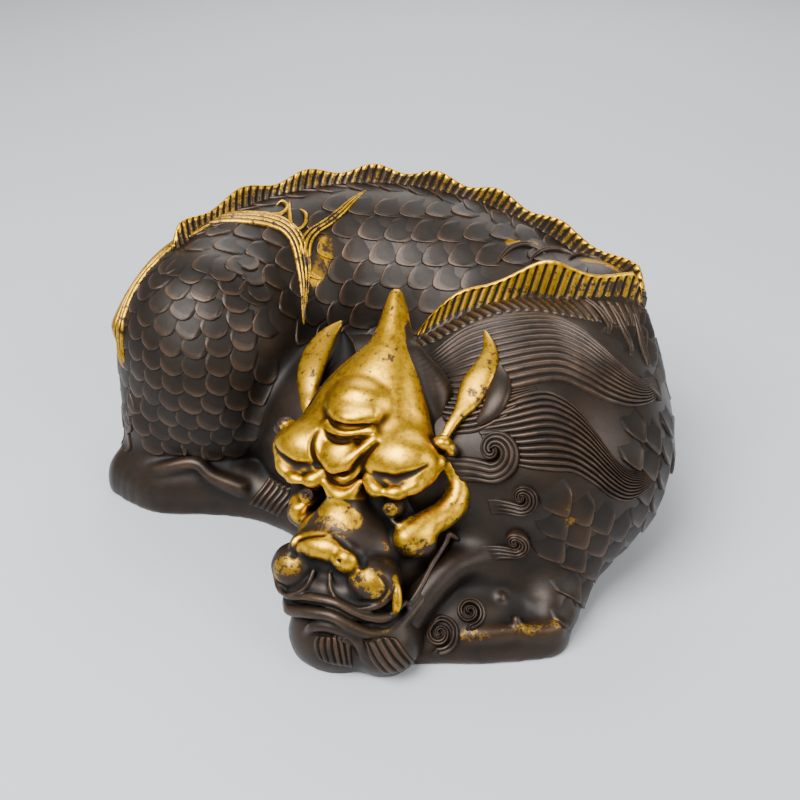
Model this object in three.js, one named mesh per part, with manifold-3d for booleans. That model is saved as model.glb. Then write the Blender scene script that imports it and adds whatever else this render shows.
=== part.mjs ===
// A recumbent qilin, cast in bronze in one piece: the scaled body is curled like a sleeping dog's, so
// that the single-horned head comes round to the front and lies with its chin on the ground. The dorsal
// crest runs from behind the horn out to the shoulder, turns there and follows the back to the rump,
// where the tail takes over. Millimetres, +Z up. The viewer stands on the -Y side. The underside is cut
// flat at Z = 0.
import * as THREE from "three";
import { mergeVertices } from "three/addons/utils/BufferGeometryUtils.js";
import Module from "manifold-3d";

const wasm = await Module();
wasm.setup();

// Driving dimensions.
const BACK_HEIGHT = 92; // ground to the top of the back, under the crest
const CURL_CENTRE = [-6, 9];
const CURL_RADII = [46, 54, 60, 56, 59, 65, 64]; // centre line of the curled body, from the neck to the rump
const CREST_RADII = [87, 71, 64, 67, 71, 78]; // the dorsal crest, from the shoulder to the rump
const FLANK_WIDTH = 42; // half the body's width at the flank
const SCALE_LENGTH = 15; // visible length of one scale
const SCALE_LIFT = 1.0; // how far a scale's free edge stands up
const NECK_CREST_HEIGHT = 11;
const BACK_CREST_HEIGHT = 6.5;
const WITHERS_RISE = 7; // how far the withers lift the crest above the back
const LOCK_HEIGHT = 1.6; // how far a lock of the mane stands up from the neck
const RIDGE_HEIGHT = 0.8; // how far a ridge of hair stands up from its lock
const PLAN_CENTRE = [-6, 7.8]; // middle of the outline seen from above, which becomes the origin

// The head's own frame: X to the viewer's right, Y into the face, Z up the face from the chin to the horn.
const HEAD_AT = new THREE.Vector3(-13.6, -55.1, 42.8);
const HEAD_TURN = new THREE.Euler(
  THREE.MathUtils.degToRad(-31.5),
  THREE.MathUtils.degToRad(-7.5),
  THREE.MathUtils.degToRad(-24.8),
  "ZXY",
);
const headMatrix = new THREE.Matrix4()
  .makeRotationFromEuler(HEAD_TURN)
  .setPosition(HEAD_AT);

const bronze = new THREE.MeshStandardMaterial({
  color: 0x33291f,
  roughness: 0.42,
  metalness: 0.85,
});

const point = (x, y, z) => new THREE.Vector3(x, y, z);
const rad = THREE.MathUtils.degToRad;

// A solid of a closed geometry, with the vertices that share a place merged.
function solid(geometry) {
  const bare = geometry.clone();
  bare.deleteAttribute("normal");
  bare.deleteAttribute("uv");
  const merged = mergeVertices(bare, 1e-3);
  const index = new Uint32Array(merged.index.array);
  const make = () =>
    new wasm.Manifold(
      new wasm.Mesh({
        numProp: 3,
        vertProperties: merged.attributes.position.array,
        triVerts: index,
      }),
    );
  const made = make();
  if (made.volume() > 0) return made;
  for (let i = 0; i < index.length; i += 3) {
    [index[i + 1], index[i + 2]] = [index[i + 2], index[i + 1]];
  }
  return make();
}

// A closed solid through rings that all have the same number of points, with a fan over each end.
function loft(rings) {
  const sides = rings[0].length;
  const points = rings.flat();
  const middle = (ring) =>
    ring.reduce((sum, p) => sum.add(p), point(0, 0, 0)).divideScalar(sides);
  const faces = [];
  for (let i = 0; i + 1 < rings.length; i++) {
    for (let k = 0; k < sides; k++) {
      const a = i * sides + k;
      const b = i * sides + ((k + 1) % sides);
      faces.push(a, b, b + sides, a, b + sides, a + sides);
    }
  }
  const last = (rings.length - 1) * sides;
  points.push(middle(rings[0]), middle(rings[rings.length - 1]));
  for (let k = 0; k < sides; k++) {
    const next = (k + 1) % sides;
    faces.push(points.length - 2, next, k);
    faces.push(points.length - 1, last + k, last + next);
  }
  const geometry = new THREE.BufferGeometry().setFromPoints(points);
  geometry.setIndex(faces);
  return solid(geometry);
}

// An ellipsoid. With a matrix, the centre, radii and turn are those of that frame.
function blob(centre, radii, { turn = [0, 0, 0], sides = 12, matrix = null } = {}) {
  const geometry = new THREE.SphereGeometry(1, sides, Math.ceil(sides * 0.6));
  geometry.rotateX(Math.PI / 2);
  geometry.scale(...radii);
  const euler = new THREE.Euler(...turn.map(rad), "ZXY");
  geometry.applyMatrix4(new THREE.Matrix4().makeRotationFromEuler(euler));
  geometry.translate(...centre);
  if (matrix) geometry.applyMatrix4(matrix);
  return solid(geometry);
}

// A limb: ellipses carried along a smooth line, with round or flat ends. A station is [x, y, z, half the
// width, half the height].
function limb(
  stations,
  { sides = 8, steps = 2, round = true, matrix = null, up = point(0, 0, 1) } = {},
) {
  const places = stations.map((s) => point(s[0], s[1], s[2]));
  const line = new THREE.CatmullRomCurve3(places, false, "centripetal");
  const sizes = new THREE.CatmullRomCurve3(stations.map((s) => point(s[3], s[4], 0)));
  const count = (stations.length - 1) * steps;
  const rings = [];
  const ring = (centre, along, wide, high) => {
    const side = point(0, 0, 0).crossVectors(along, up).normalize();
    const top = point(0, 0, 0).crossVectors(side, along).normalize();
    return Array.from({ length: sides }, (_, k) => {
      const angle = (2 * Math.PI * k) / sides;
      const p = centre.clone().addScaledVector(side, wide * Math.cos(angle));
      return p.addScaledVector(top, high * Math.sin(angle));
    });
  };
  for (let i = 0; i <= count; i++) {
    const centre = line.getPoint(i / count);
    const along = line.getTangent(i / count);
    const { x: wide, y: high } = sizes.getPoint(i / count);
    const cap = (reach) =>
      ring(centre.clone().addScaledVector(along, reach), along, wide * 0.55, high * 0.55);
    if (round && i === 0) rings.push(cap(-0.6 * wide));
    rings.push(ring(centre, along, wide, high));
    if (round && i === count) rings.push(cap(0.6 * wide));
  }
  if (matrix) rings.forEach((r) => r.forEach((p) => p.applyMatrix4(matrix)));
  return loft(rings);
}

// A value that runs smoothly through evenly spaced keys, at t from 0 to 1.
function through(keys, t) {
  const curve = new THREE.SplineCurve(keys.map((k, i) => new THREE.Vector2(i, k)));
  return curve.getPoint(THREE.MathUtils.clamp(t, 0, 1)).y;
}

// The curled body. Its place along the curl is an angle seen from above, in degrees: the neck starts
// behind the head at NECK_START, the shoulder is near 0, the middle of the back at 90 and the rump at
// RUMP_END.
const NECK_START = -75;
const RUMP_END = 170;
const WIDTH_KEYS = [0.66, 0.98, 1.02, 1.0, 0.98, 0.95, 0.86];
const HEIGHT_KEYS = [0.68, 0.76, 0.86, 0.96, 1.0, 0.98, 0.93];
const BELOW_GROUND = 6; // how far the body's section would reach below the flat underside

function bodyAt(angle) {
  const t = (angle - NECK_START) / (RUMP_END - NECK_START);
  const radius = through(CURL_RADII, t);
  const out = point(Math.cos(rad(angle)), Math.sin(rad(angle)), 0);
  const top = BACK_HEIGHT * through(HEIGHT_KEYS, t);
  const high = (top + BELOW_GROUND) / 2;
  return {
    centre: point(CURL_CENTRE[0] + out.x * radius, CURL_CENTRE[1] + out.y * radius, top - high),
    out,
    radius,
    wide: FLANK_WIDTH * through(WIDTH_KEYS, t),
    high,
  };
}

// A point of the body's skin: round is the angle about the body, 0 outwards and 90 on top of the back.
function skin(angle, round, lift = 0) {
  const at = bodyAt(angle);
  const c = Math.cos(rad(round));
  const s = Math.sin(rad(round));
  const p = at.centre.clone().addScaledVector(at.out, (at.wide + lift) * c);
  p.z += (at.high + lift) * s;
  return p;
}

// The body, with rows of scales. A scale's free edge is a scallop that points to the tail, one corner at
// each even point round the body and the next row's between them, and it stands SCALE_LIFT above the row
// behind it.
function body() {
  const arc = rad(RUMP_END - NECK_START) * CURL_RADII[4];
  const rows = Math.round(arc / SCALE_LENGTH);
  const step = (RUMP_END - NECK_START) / rows;
  const sides = 18;
  const rings = [];
  for (let row = 0; row <= rows; row++) {
    const plain = row === 0 || row === rows;
    for (const lift of plain ? [0] : [SCALE_LIFT, 0]) {
      const ring = [];
      for (let k = 0; k < sides; k++) {
        const forward = (k + row) % 2 === 0 ? 0.28 : -0.28;
        const angle = NECK_START + step * (row + (plain ? 0 : forward) + (lift || plain ? 0 : 0.06));
        ring.push(skin(angle, (360 * k) / sides, lift));
      }
      rings.push(ring);
    }
  }
  return loft(rings);
}

// The haunch, an upright ellipsoid whose rows of scales hang downwards.
const HAUNCH = { centre: [-68, 25, 37], radii: [33, 38, 48] };
function haunch() {
  const rows = 8;
  const sides = 22;
  const rings = [];
  for (let row = 1; row < rows; row++) {
    for (const lift of [SCALE_LIFT, 0]) {
      const ring = [];
      for (let k = 0; k < sides; k++) {
        const scallop = (k + row) % 2 === 0 ? 0.26 : -0.26;
        const polar = (Math.PI * (row + scallop + (lift ? 0 : 0.07))) / rows;
        const round = (2 * Math.PI * k) / sides;
        const [a, b, c] = HAUNCH.radii.map((r) => r + lift);
        ring.push(
          point(
            HAUNCH.centre[0] + a * Math.sin(polar) * Math.cos(round),
            HAUNCH.centre[1] + b * Math.sin(polar) * Math.sin(round),
            HAUNCH.centre[2] + c * Math.cos(polar),
          ),
        );
      }
      rings.push(ring);
    }
  }
  return loft(rings);
}

// Filling between the head, the neck and the flank, so that the curl has no hole through it.
function core() {
  const middle = blob([-14, 2, 25], [39, 34, 34], { sides: 10 });
  const nape = limb(
    [
      [-8, -24, 44, 18, 16],
      [12, -8, 47, 20, 18],
      [36, -4, 52, 22, 22],
    ],
    { sides: 6 },
  );
  const throat = blob([27, -56, 13], [22, 18, 20], { sides: 8 });
  return [middle, nape, throat];
}

// Hind leg: the shank and foot lie along the ground in front of the haunch, from the heel to under the
// head.
function hindLeg() {
  const foot = limb([
    [-101, 0, 3, 9, 13],
    [-87, -7, 3, 11, 14],
    [-70, -8, 4, 11, 15],
    [-52, -11, 4, 11, 12],
    [-36, -18, 4, 12, 10],
    [-20, -32, 4, 12, 9],
  ]);
  const tendon = limb(
    [
      [-96, -5, 12, 3, 3],
      [-82, -9, 17, 3, 3],
      [-68, -11, 17, 3, 3],
      [-52, -17, 11, 3, 3],
    ],
    { sides: 6, round: false },
  );
  return [foot, tendon];
}

// Neck and foreleg: the neck and chest bulge forward beside the head, and the leg folds under them so
// that the paw lies along the ground below the chin.
const NECK = { centre: [47, -17, 34], radii: [46, 52, 43] };
function foreleg() {
  const neck = blob(NECK.centre, NECK.radii, { sides: 14 });
  const withers = blob([70, 16, 48], [23, 24, 34], { sides: 10 });
  const upper = limb([
    [54, -46, 28, 14, 14],
    [51, -60, 15, 12, 12],
    [48, -72, 8, 10, 11],
  ]);
  const paw = limb(
    [
      [44, -79, 2, 9, 10],
      [28, -81, 2, 9, 7],
      [12, -81, 2, 9, 6],
      [-2, -82, 2, 9, 5],
    ],
    { steps: 1 },
  );
  const cushion = blob([18, -70, 4], [26, 18, 13], { sides: 10 });
  return [neck, withers, upper, paw, cushion];
}

// The dorsal crest: a thin fin whose top rises and falls in waves. Hatching stands on its sides as ribs.
function crest(path, { wave, height, ribs, taper = 0.12 }) {
  const count = ribs * 2;
  const rings = [];
  for (let i = 0; i <= count; i++) {
    const t = i / count;
    const foot = path(t);
    const ahead = path(Math.min(1, t + 0.01)).root.clone().sub(path(Math.max(0, t - 0.01)).root);
    const across = point(0, 0, 0).crossVectors(ahead, foot.up).normalize();
    const ends = Math.min(1, t / taper, (1 - t) / taper);
    const swing = 1 + 0.2 * Math.sin(2 * Math.PI * wave * t);
    const rise = height * Math.sqrt(Math.max(ends, 0.05)) * swing;
    const rib = i % 2 ? 0.45 : 0;
    const at = (side, up) =>
      foot.root.clone().addScaledVector(across, side).addScaledVector(foot.up, up);
    rings.push([
      at(3.2, -4),
      at(2.4 + rib, 0.35 * rise),
      at(1.1 + rib * 0.5, rise),
      at(-1.1 - rib * 0.5, rise),
      at(-2.4 - rib, 0.35 * rise),
      at(-3.2, -4),
    ]);
  }
  return loft(rings);
}

const NECK_CREST = [
  [7, 4, 63],
  [19, 5, 69.5],
  [31, 6, 73],
  [45, 5.5, 75.5],
  [57, 3.5, 76],
  [69, 3.5, 75.5],
  [80, 6, 74],
];
function neckCrest() {
  const line = new THREE.CatmullRomCurve3(NECK_CREST.map((p) => point(...p)));
  const up = point(0, 0.08, 1).normalize();
  return crest((t) => ({ root: line.getPoint(t), up }), {
    wave: 2.2,
    height: NECK_CREST_HEIGHT,
    ribs: 11,
    taper: 0.08,
  });
}

const BACK_CREST_TO = 165;
function backCrest() {
  const path = (t) => {
    const angle = BACK_CREST_TO * t;
    const at = bodyAt(angle);
    const reach = through(CREST_RADII, t) - at.radius;
    const lean = THREE.MathUtils.radToDeg(
      Math.acos(THREE.MathUtils.clamp(reach / at.wide, -1, 1)),
    );
    const root = skin(angle, lean);
    root.z += WITHERS_RISE * Math.max(0, 1 - t * 7);
    const up = skin(angle, (lean + 90) / 2, 10).sub(skin(angle, (lean + 90) / 2)).normalize();
    return { root, up };
  };
  return crest(path, { wave: 7.5, height: BACK_CREST_HEIGHT, ribs: 13, taper: 0.05 });
}

// A lock of hair or a ribbon, a band of ridges between two edges, each a line of points. Where over is
// given, it puts a point on the surface the lock lies on, with a lift above it. Otherwise the lock is
// flat and faces up.
function lock(
  edges,
  ridges,
  { over = null, up = null, matrix = null, height = LOCK_HEIGHT, steps = 10 } = {},
) {
  const lines = edges.map((edge) => new THREE.CatmullRomCurve3(edge.map((p) => point(...p))));
  const flat = (p, lift) => p.addScaledVector(up, lift);
  const place = over ?? flat;
  const ridge = Math.min(RIDGE_HEIGHT, height * 0.6);
  const rings = [];
  for (let i = 0; i <= steps; i++) {
    const t = i / steps;
    const [a, b] = lines.map((line) => line.getPoint(t));
    const at = (share, lift) => place(a.clone().lerp(b, share), lift);
    const ends = Math.sqrt(Math.min(1, 4 * (1 - t), 8 * t + 0.3));
    const top = Array.from({ length: ridges * 2 + 1 }, (_, k) => {
      const share = k / (ridges * 2);
      const dome = height * Math.sqrt(Math.max(0, 1 - 0.9 * (2 * share - 1) ** 2));
      return at(share, ends * (dome + (k % 2) * ridge));
    });
    rings.push([...top, at(1, -4), at(0, -4)]);
  }
  if (matrix) rings.forEach((r) => r.forEach((p) => p.applyMatrix4(matrix)));
  return loft(rings);
}

// The two edges of a band whose middle line and width are given.
function edgesOf(stations, up) {
  const line = new THREE.CatmullRomCurve3(stations.map((s) => point(s[0], s[1], s[2])));
  return [-0.5, 0.5].map((side) =>
    stations.map(([x, y, z, wide], i) => {
      const along = line.getTangent(i / (stations.length - 1));
      const across = point(0, 0, 0).crossVectors(along, up).normalize();
      return point(x, y, z).addScaledVector(across, side * wide).toArray();
    }),
  );
}

// A flat curl: a round bar wound into a spiral that faces out. Its outer end is below and runs off to the
// left.
function curl(centre, size, { out, turns = 1.2, bar = 1.5, stem = 0 }) {
  const right = point(0, 0, 0).crossVectors(point(0, 0, 1), out).normalize();
  const up = point(0, 0, 0).crossVectors(out, right).normalize();
  const points = [];
  const count = Math.round(turns * 7);
  for (let i = 0; i <= count; i++) {
    const share = i / count;
    const angle = 2 * Math.PI * turns * (1 - share) - Math.PI / 2;
    const radius = size * (0.14 + 0.86 * share);
    const p = centre.clone().addScaledVector(right, radius * Math.cos(angle));
    p.addScaledVector(up, radius * Math.sin(angle));
    points.push(p.addScaledVector(out, 1.2 * (1 - share)));
  }
  if (stem) points.push(points[points.length - 1].clone().addScaledVector(right, -stem));
  const sides = 4;
  const line = new THREE.CatmullRomCurve3(points);
  const rings = points.map((_, i) => {
    const t = i / (points.length - 1);
    const at = line.getPoint(t);
    const across = point(0, 0, 0).crossVectors(line.getTangent(t), out).normalize();
    return Array.from({ length: sides }, (__, k) => {
      const angle = (2 * Math.PI * k) / sides;
      const p = at.clone().addScaledVector(across, bar * Math.cos(angle));
      return p.addScaledVector(out, bar * Math.sin(angle));
    });
  });
  return loft(rings);
}

// The face, in the head's frame. Places are [to the side, out of the face, up the face].
const face = ([x, out, up]) => [x, -out, up];
const bump = (centre, radii, more = {}) =>
  blob(face(centre), radii, { matrix: headMatrix, sides: 8, ...more });
const bar = (stations, more = {}) =>
  limb(
    stations.map(([x, out, up, r]) => [x, -out, up, r, r]),
    {
      sides: 5,
      round: false,
      matrix: headMatrix,
      up: point(0.13, -1, 0.17).normalize(),
      ...more,
    },
  );
const mirrored = (stations) => stations.map(([x, ...rest]) => [-x, ...rest]);

// The horn and the brow mask are one form: the horn widens smoothly into the mask.
function horn() {
  return limb(
    [
      [0.5, 5, 8, 25, 8],
      [0.5, 4, 17, 24, 10],
      [2.5, 4, 26, 18.5, 9.5],
      [4, 6, 33, 14, 9],
      [4.2, 8, 40, 9.8, 8],
      [3.5, 9.5, 47, 6, 6],
      [2.2, 11, 54, 4, 4],
      [1.5, 12, 59, 2.8, 2.8],
    ],
    { sides: 8, steps: 1, matrix: headMatrix, up: point(0, -1, 0) },
  );
}

function skull() {
  return [
    bump([0, -20, 8], [26, 23, 28]),
    bump([2, -16, -22], [24, 20, 26]),
    bump([0, 6, 24], [8, 3.2, 4.5]),
    bump([-1, 9.5, 8], [7, 4, 7]),
    bar([
      [-5, 8, 15, 1.8],
      [1, 9.5, 14, 2.4],
      [7, 8.5, 16, 1.8],
    ]),
    bar([
      [-7, 6.5, 1, 1.8],
      [-1, 9.5, -2, 2.2],
      [5.5, 6.5, 2.5, 1.8],
    ]),
    horn(),
  ];
}

function muzzle() {
  return [
    bump([0, 3, -14], [14, 12, 13]),
    bump([0, 9, -7], [6.5, 5, 5]),
    bar([
      [-9.5, 15, -20.5, 3.4],
      [-3, 17, -17.5, 3.8],
      [3, 17, -17.5, 3.8],
      [9.5, 15, -20.5, 3.4],
    ]),
    bump([0, 7, -29], [14, 10.5, 8]),
    bump([0, 2, -44], [14.5, 12, 14]),
    bar(
      [
        [-16, 3, -32, 2],
        [-12.5, 12, -35, 2.2],
        [-5, 17, -33, 2],
        [5, 17, -33, 2],
        [14, 12, -35, 2.2],
        [19, 2, -31, 2],
      ],
      { steps: 1 },
    ),
    bar(
      [
        [-18, -4, -26, 2],
        [-16, 8, -38, 2.4],
        [-12, 13, -39.5, 2.6],
        [0, 16.5, -36.5, 2.6],
        [12, 13, -39.5, 2.6],
        [19, 8, -39.5, 2.4],
        [24, -2, -28, 2.2],
        [28, -10, -15, 1.6],
      ],
      { steps: 1 },
    ),
  ];
}

// One side of the face: brow, eye, cheekbone, nostril wing and tusk. The far cheek is the flatter one.
function faceSide(side) {
  const at = (x, out, up) => [side * x, out, up];
  const fold = (stations, more) => bar(side > 0 ? stations : mirrored(stations), more);
  const cheek = side > 0
    ? [
        [25, -8, 9, 3.4],
        [30, -8, 3, 4.4],
        [29, -5, -4, 5.2],
        [23, 0, -11, 5.2],
        [17, 5, -15, 4.2],
      ]
    : [
        [-22, -9, 7, 2.6],
        [-18.5, -4, -3, 3],
        [-16, 2, -11, 3.6],
      ];
  return [
    bump(at(16, 1.5, 8), [14.5, 8, 9.5]),
    fold(
      [
        [6, 7, 5, 2],
        [9.5, 8.5, 0.5, 2.4],
        [15, 7.5, -1, 2.6],
        [21, 6, 0.5, 2.4],
        [26, 3, 5, 2.2],
        [28, 0, 11, 1.8],
      ],
      { steps: 1 },
    ),
    bump(at(14.3, 0.5, -4.6), [3.8, 3.8, 3.8], { sides: 6 }),
    bar(cheek),
    bump(at(13.6, 9.5, -26), [6.8, 7, 8]),
    fold(
      [
        [18.6, 8.5, -34, 2],
        [18.8, 10, -29, 1.6],
        [18.1, 10, -24.5, 0.6],
      ],
      { steps: 1 },
    ),
  ];
}

// The fold that runs back from the corner of the jaw, on the side towards the foreleg.
function jowl() {
  return bar([
    [22, -3, -46, 3],
    [22.7, -9, -35, 3.6],
    [27, -15, -28, 4],
    [34, -21, -24.5, 4],
    [41, -27, -20.5, 3.4],
  ]);
}

// An ear, a leaf with a hollow that stands behind the brow and points up and back.
function ear(side) {
  const leaf = (stations) =>
    limb(
      stations.map(([x, out, up, wide, deep]) => [side * x, -out, up, wide, deep]),
      { sides: 6, matrix: headMatrix, up: point(0, -1, 0.2).normalize() },
    );
  const shell = side > 0
    ? leaf([
        [26.5, -4, 16, 2, 2],
        [29, -7, 22.5, 2.6, 2.6],
        [31.5, -10, 31, 4.4, 3],
        [34.5, -14, 39, 5, 3],
        [34, -18, 45, 3.2, 2.4],
        [31, -22, 51, 0.9, 0.9],
      ])
    : leaf([
        [20, -14, 11, 4, 4],
        [27, -14, 20, 4.4, 3.4],
        [31.5, -20, 31, 6.4, 3.4],
        [32, -26, 41, 5.6, 3],
        [29, -31, 48, 3, 2],
        [26, -33, 52, 0.9, 0.9],
      ]);
  const lobe = leaf([
    [35.5, -18, 24, 2.6, 3],
    [39, -20, 33, 4.2, 3.4],
    [39, -21, 41, 3.4, 3],
    [36.5, -23, 46, 1.2, 1.6],
  ]);
  const hollow = leaf([
    [25, -18, 27, 1.6, 2],
    [26, -22, 37, 3, 2.4],
    [26, -29, 46, 1.4, 1.6],
  ]);
  return side > 0 ? shell.add(lobe) : shell.subtract(hollow);
}

// The beard: locks of hair that hang from the chin to the ground.
function beard() {
  const up = point(0, -1, -0.25).normalize();
  const tuft = (stations, ridges) =>
    lock(edgesOf(stations.map(([x, out, z, wide]) => [x, -out, z, wide]), up), ridges, {
      up,
      matrix: headMatrix,
      steps: 4,
    });
  return [
    tuft(
      [
        [3, 12, -41, 10],
        [6, 12, -49, 12],
        [5, 7, -58, 7],
      ],
      3,
    ),
    tuft(
      [
        [14, 8, -43, 8],
        [18, 4, -49, 9],
        [19, -1, -56, 5],
      ],
      2,
    ),
  ];
}

// A point on the neck's surface, straight out from the neck's middle, with a lift above it.
function onNeck(p, lift = 0) {
  const [a, b, c] = NECK.radii;
  const middle = point(...NECK.centre);
  const from = p.clone().sub(middle);
  const reach = Math.hypot(from.x / a, from.y / b, from.z / c);
  return middle.addScaledVector(from, 1 / reach + lift / from.length());
}

function neckFacing(p) {
  const [a, b, c] = NECK.radii;
  const from = p.clone().sub(point(...NECK.centre));
  return point(from.x / a ** 2, from.y / b ** 2, from.z / c ** 2).normalize();
}

// The mane: two broad locks that sweep back from behind the ear, and curls along the edge of the jaw.
const HIGH_LOCK = [
  [
    [28, -9, 72],
    [34, -7, 74],
    [44, -6, 76],
    [54, -7, 76],
    [64, -22, 74],
    [72, -28, 68],
    [81, -22, 63],
    [87, -8, 57],
  ],
  [
    [31, -43, 68],
    [36, -43, 69],
    [43, -42, 71],
    [52, -42, 71],
    [64, -44, 66],
    [73, -40, 62],
    [82, -28, 60],
    [88, -10, 56],
  ],
];
const LOW_LOCK = [
  [
    [24, -47, 62],
    [31, -49, 64],
    [40, -47, 68],
    [53, -48, 68],
    [61, -53, 62],
    [66, -56, 55],
    [72, -56, 49],
    [80, -49, 48],
  ],
  [
    [30, -63, 50],
    [36, -62, 52],
    [44, -63, 54],
    [52, -63, 54],
    [62, -63, 47],
    [69, -61, 42],
    [76, -56, 41],
    [81, -49, 46],
  ],
];
const MANE_CURLS = [
  [[27.5, -55.4, 57], 8.5],
  [[35.5, -65.7, 43], 6.5],
  [[34.5, -66.9, 28], 6.5],
];
function mane() {
  const curls = MANE_CURLS.map(([at, size]) => {
    const centre = onNeck(point(...at), 0.4);
    return curl(centre, size, { out: neckFacing(centre), bar: size * 0.27, stem: size * 1.3 });
  });
  const locks = [HIGH_LOCK, LOW_LOCK].map((edges) => lock(edges, 4, { over: onNeck, steps: 8 }));
  return [...locks, ...curls];
}

// Cloud curls on the folded foreleg.
function elbowCurls() {
  const out = point(-0.05, -0.75, 0.62).normalize();
  return [
    [[11.3, -85, 9.8], 6],
    [[20, -80, 15], 5.5],
  ].map(([at, size]) => curl(point(...at), size, { out, turns: 1.5, bar: 1.3 }));
}

// The flame band at the hip, a raised ribbon in three strands that parts the haunch from the flank.
function flameBand() {
  const up = point(0.25, -0.45, 0.86).normalize();
  const strand = (stations) => lock(edgesOf(stations, up), 2, { up, steps: 6 });
  return [
    strand([
      [-73, 48, 86, 3],
      [-61, 44, 88, 7],
      [-50, 42, 87, 8],
      [-41, 38, 83, 8],
      [-35, 32, 76, 7],
      [-34, 22, 65, 1],
    ]),
    strand([
      [-37, 37, 81, 6],
      [-30, 44, 85, 6],
      [-21, 52, 88.5, 4],
      [-12, 64, 91.5, 1],
    ]),
  ];
}

// The tail lies down the outer side of the haunch and ends in a rounded tuft.
function tail() {
  return limb(
    [
      [-72, 44, 82, 4, 4],
      [-84, 33, 76, 5, 4.5],
      [-92, 24, 68, 5.5, 4.5],
      [-98, 16, 59, 6, 4.5],
      [-99.5, 9, 49, 4.5, 4],
    ],
    { sides: 6 },
  );
}

// Everything joined, cut flat on the ground and set with its outline's middle at the origin.
const GROUND_WIDTH = 4 * (CURL_RADII[0] + FLANK_WIDTH);
const GROUND_DEPTH = BACK_HEIGHT;
function qilin() {
  const masses = [
    body(),
    haunch(),
    ...core(),
    ...hindLeg(),
    ...foreleg(),
    neckCrest(),
    backCrest(),
    ...skull(),
    ...muzzle(),
    ...faceSide(1),
    ...faceSide(-1),
    jowl(),
    ear(1),
    ear(-1),
    ...beard(),
    ...mane(),
    ...elbowCurls(),
    ...flameBand(),
    tail(),
  ];
  const joined = masses.reduce((sum, piece) => sum.add(piece));
  const ground = new THREE.BoxGeometry(GROUND_WIDTH, GROUND_WIDTH, GROUND_DEPTH);
  ground.translate(0, 0, -GROUND_DEPTH / 2);
  const cast = joined.subtract(solid(ground));
  const made = cast.getMesh();
  const geometry = new THREE.BufferGeometry();
  geometry.setAttribute("position", new THREE.BufferAttribute(made.vertProperties, 3));
  geometry.setIndex(new THREE.BufferAttribute(made.triVerts, 1));
  const mesh = new THREE.Mesh(geometry, bronze);
  mesh.name = "qilin";
  mesh.position.set(-PLAN_CENTRE[0], -PLAN_CENTRE[1], 0);
  return mesh;
}

const group = new THREE.Group();
group.add(qilin());
export default group;
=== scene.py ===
"""A recumbent qilin of cast bronze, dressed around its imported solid.

The casting is one piece. Its large forms are held as fields of signed distance, fused smoothly and turned
into skins. The carving lies on those skins: scales, locks of hair, curls, crests and ribbons are grids of
points that are laid on a form and lifted from it. All sizes are millimetres in the carver's frame, which
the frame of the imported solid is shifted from.
"""

import logging
import math
from dataclasses import dataclass
from enum import Enum

import bpy
import numpy as np
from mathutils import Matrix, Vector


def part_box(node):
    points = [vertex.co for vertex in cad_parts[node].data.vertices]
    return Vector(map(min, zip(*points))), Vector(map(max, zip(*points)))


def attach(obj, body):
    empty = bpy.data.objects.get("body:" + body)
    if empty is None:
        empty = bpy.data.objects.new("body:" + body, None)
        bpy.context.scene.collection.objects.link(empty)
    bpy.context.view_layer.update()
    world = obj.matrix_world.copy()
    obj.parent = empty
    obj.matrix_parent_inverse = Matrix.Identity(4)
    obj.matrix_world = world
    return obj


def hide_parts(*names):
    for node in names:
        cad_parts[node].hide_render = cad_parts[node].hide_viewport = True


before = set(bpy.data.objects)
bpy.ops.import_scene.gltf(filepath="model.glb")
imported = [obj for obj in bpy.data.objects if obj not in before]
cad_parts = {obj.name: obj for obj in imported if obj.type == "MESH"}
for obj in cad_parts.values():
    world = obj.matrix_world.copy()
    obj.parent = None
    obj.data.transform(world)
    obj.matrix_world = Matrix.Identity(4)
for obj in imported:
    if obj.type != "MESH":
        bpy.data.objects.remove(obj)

import openvdb
from mathutils import Euler, Vector

LOG = logging.getLogger("qilin")
MM = 0.001
NODE = "qilin"
FAR = 60.0  # a distance past which no form matters
SHORTEST = 1e-9  # what a length is divided by at least
LEAST_RATIO = 1e-3  # what a ratio is divided by at least
BAND_VOXELS = 3  # how many voxels on either side of a skin hold true distances
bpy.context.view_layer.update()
PLAN_CENTRE = np.array([-6.0, 7.8, 0.0])  # middle of the outline seen from above, the solid's origin
DESIGN_WIDTH = 204.0  # the figure's width as it was designed, from tail to shoulder
LOW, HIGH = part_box(NODE)
UNIT = (HIGH.x - LOW.x) / DESIGN_WIDTH  # metres to one millimetre of the design

Place = tuple[float, float, float]
Line = tuple[Place, ...]
Stations = tuple[tuple[float, ...], ...]  # rows of a place and the sizes there


# Arrays and lines


def unit(vectors: np.ndarray) -> np.ndarray:
    """Vectors scaled to length one."""
    return vectors / np.maximum(np.linalg.norm(vectors, axis=-1, keepdims=True), SHORTEST)


def smooth_line(keys: np.ndarray, t: np.ndarray) -> np.ndarray:
    """Points of a smooth line through evenly spaced keys.

    Between two keys the line is the cubic whose slope at a key is half the step between its neighbours.

    Args:
        keys: The keys, one a row.
        t: Places on the line from 0 at the first key to 1 at the last, in an array of any shape.

    Returns:
        The points, in the shape of t with one more axis.
    """
    keys = np.asarray(keys, float).reshape(len(keys), -1)
    at = np.clip(t, 0, 1) * (len(keys) - 1)
    i = np.minimum(at.astype(int), len(keys) - 2)
    f = (at - i)[..., None]
    a, b, c, d = (keys[np.clip(i + k, 0, len(keys) - 1)] for k in (-1, 0, 1, 2))
    return b + 0.5 * f * (c - a + f * (2 * a - 5 * b + 4 * c - d + f * (3 * (b - c) + d - a)))


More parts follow.
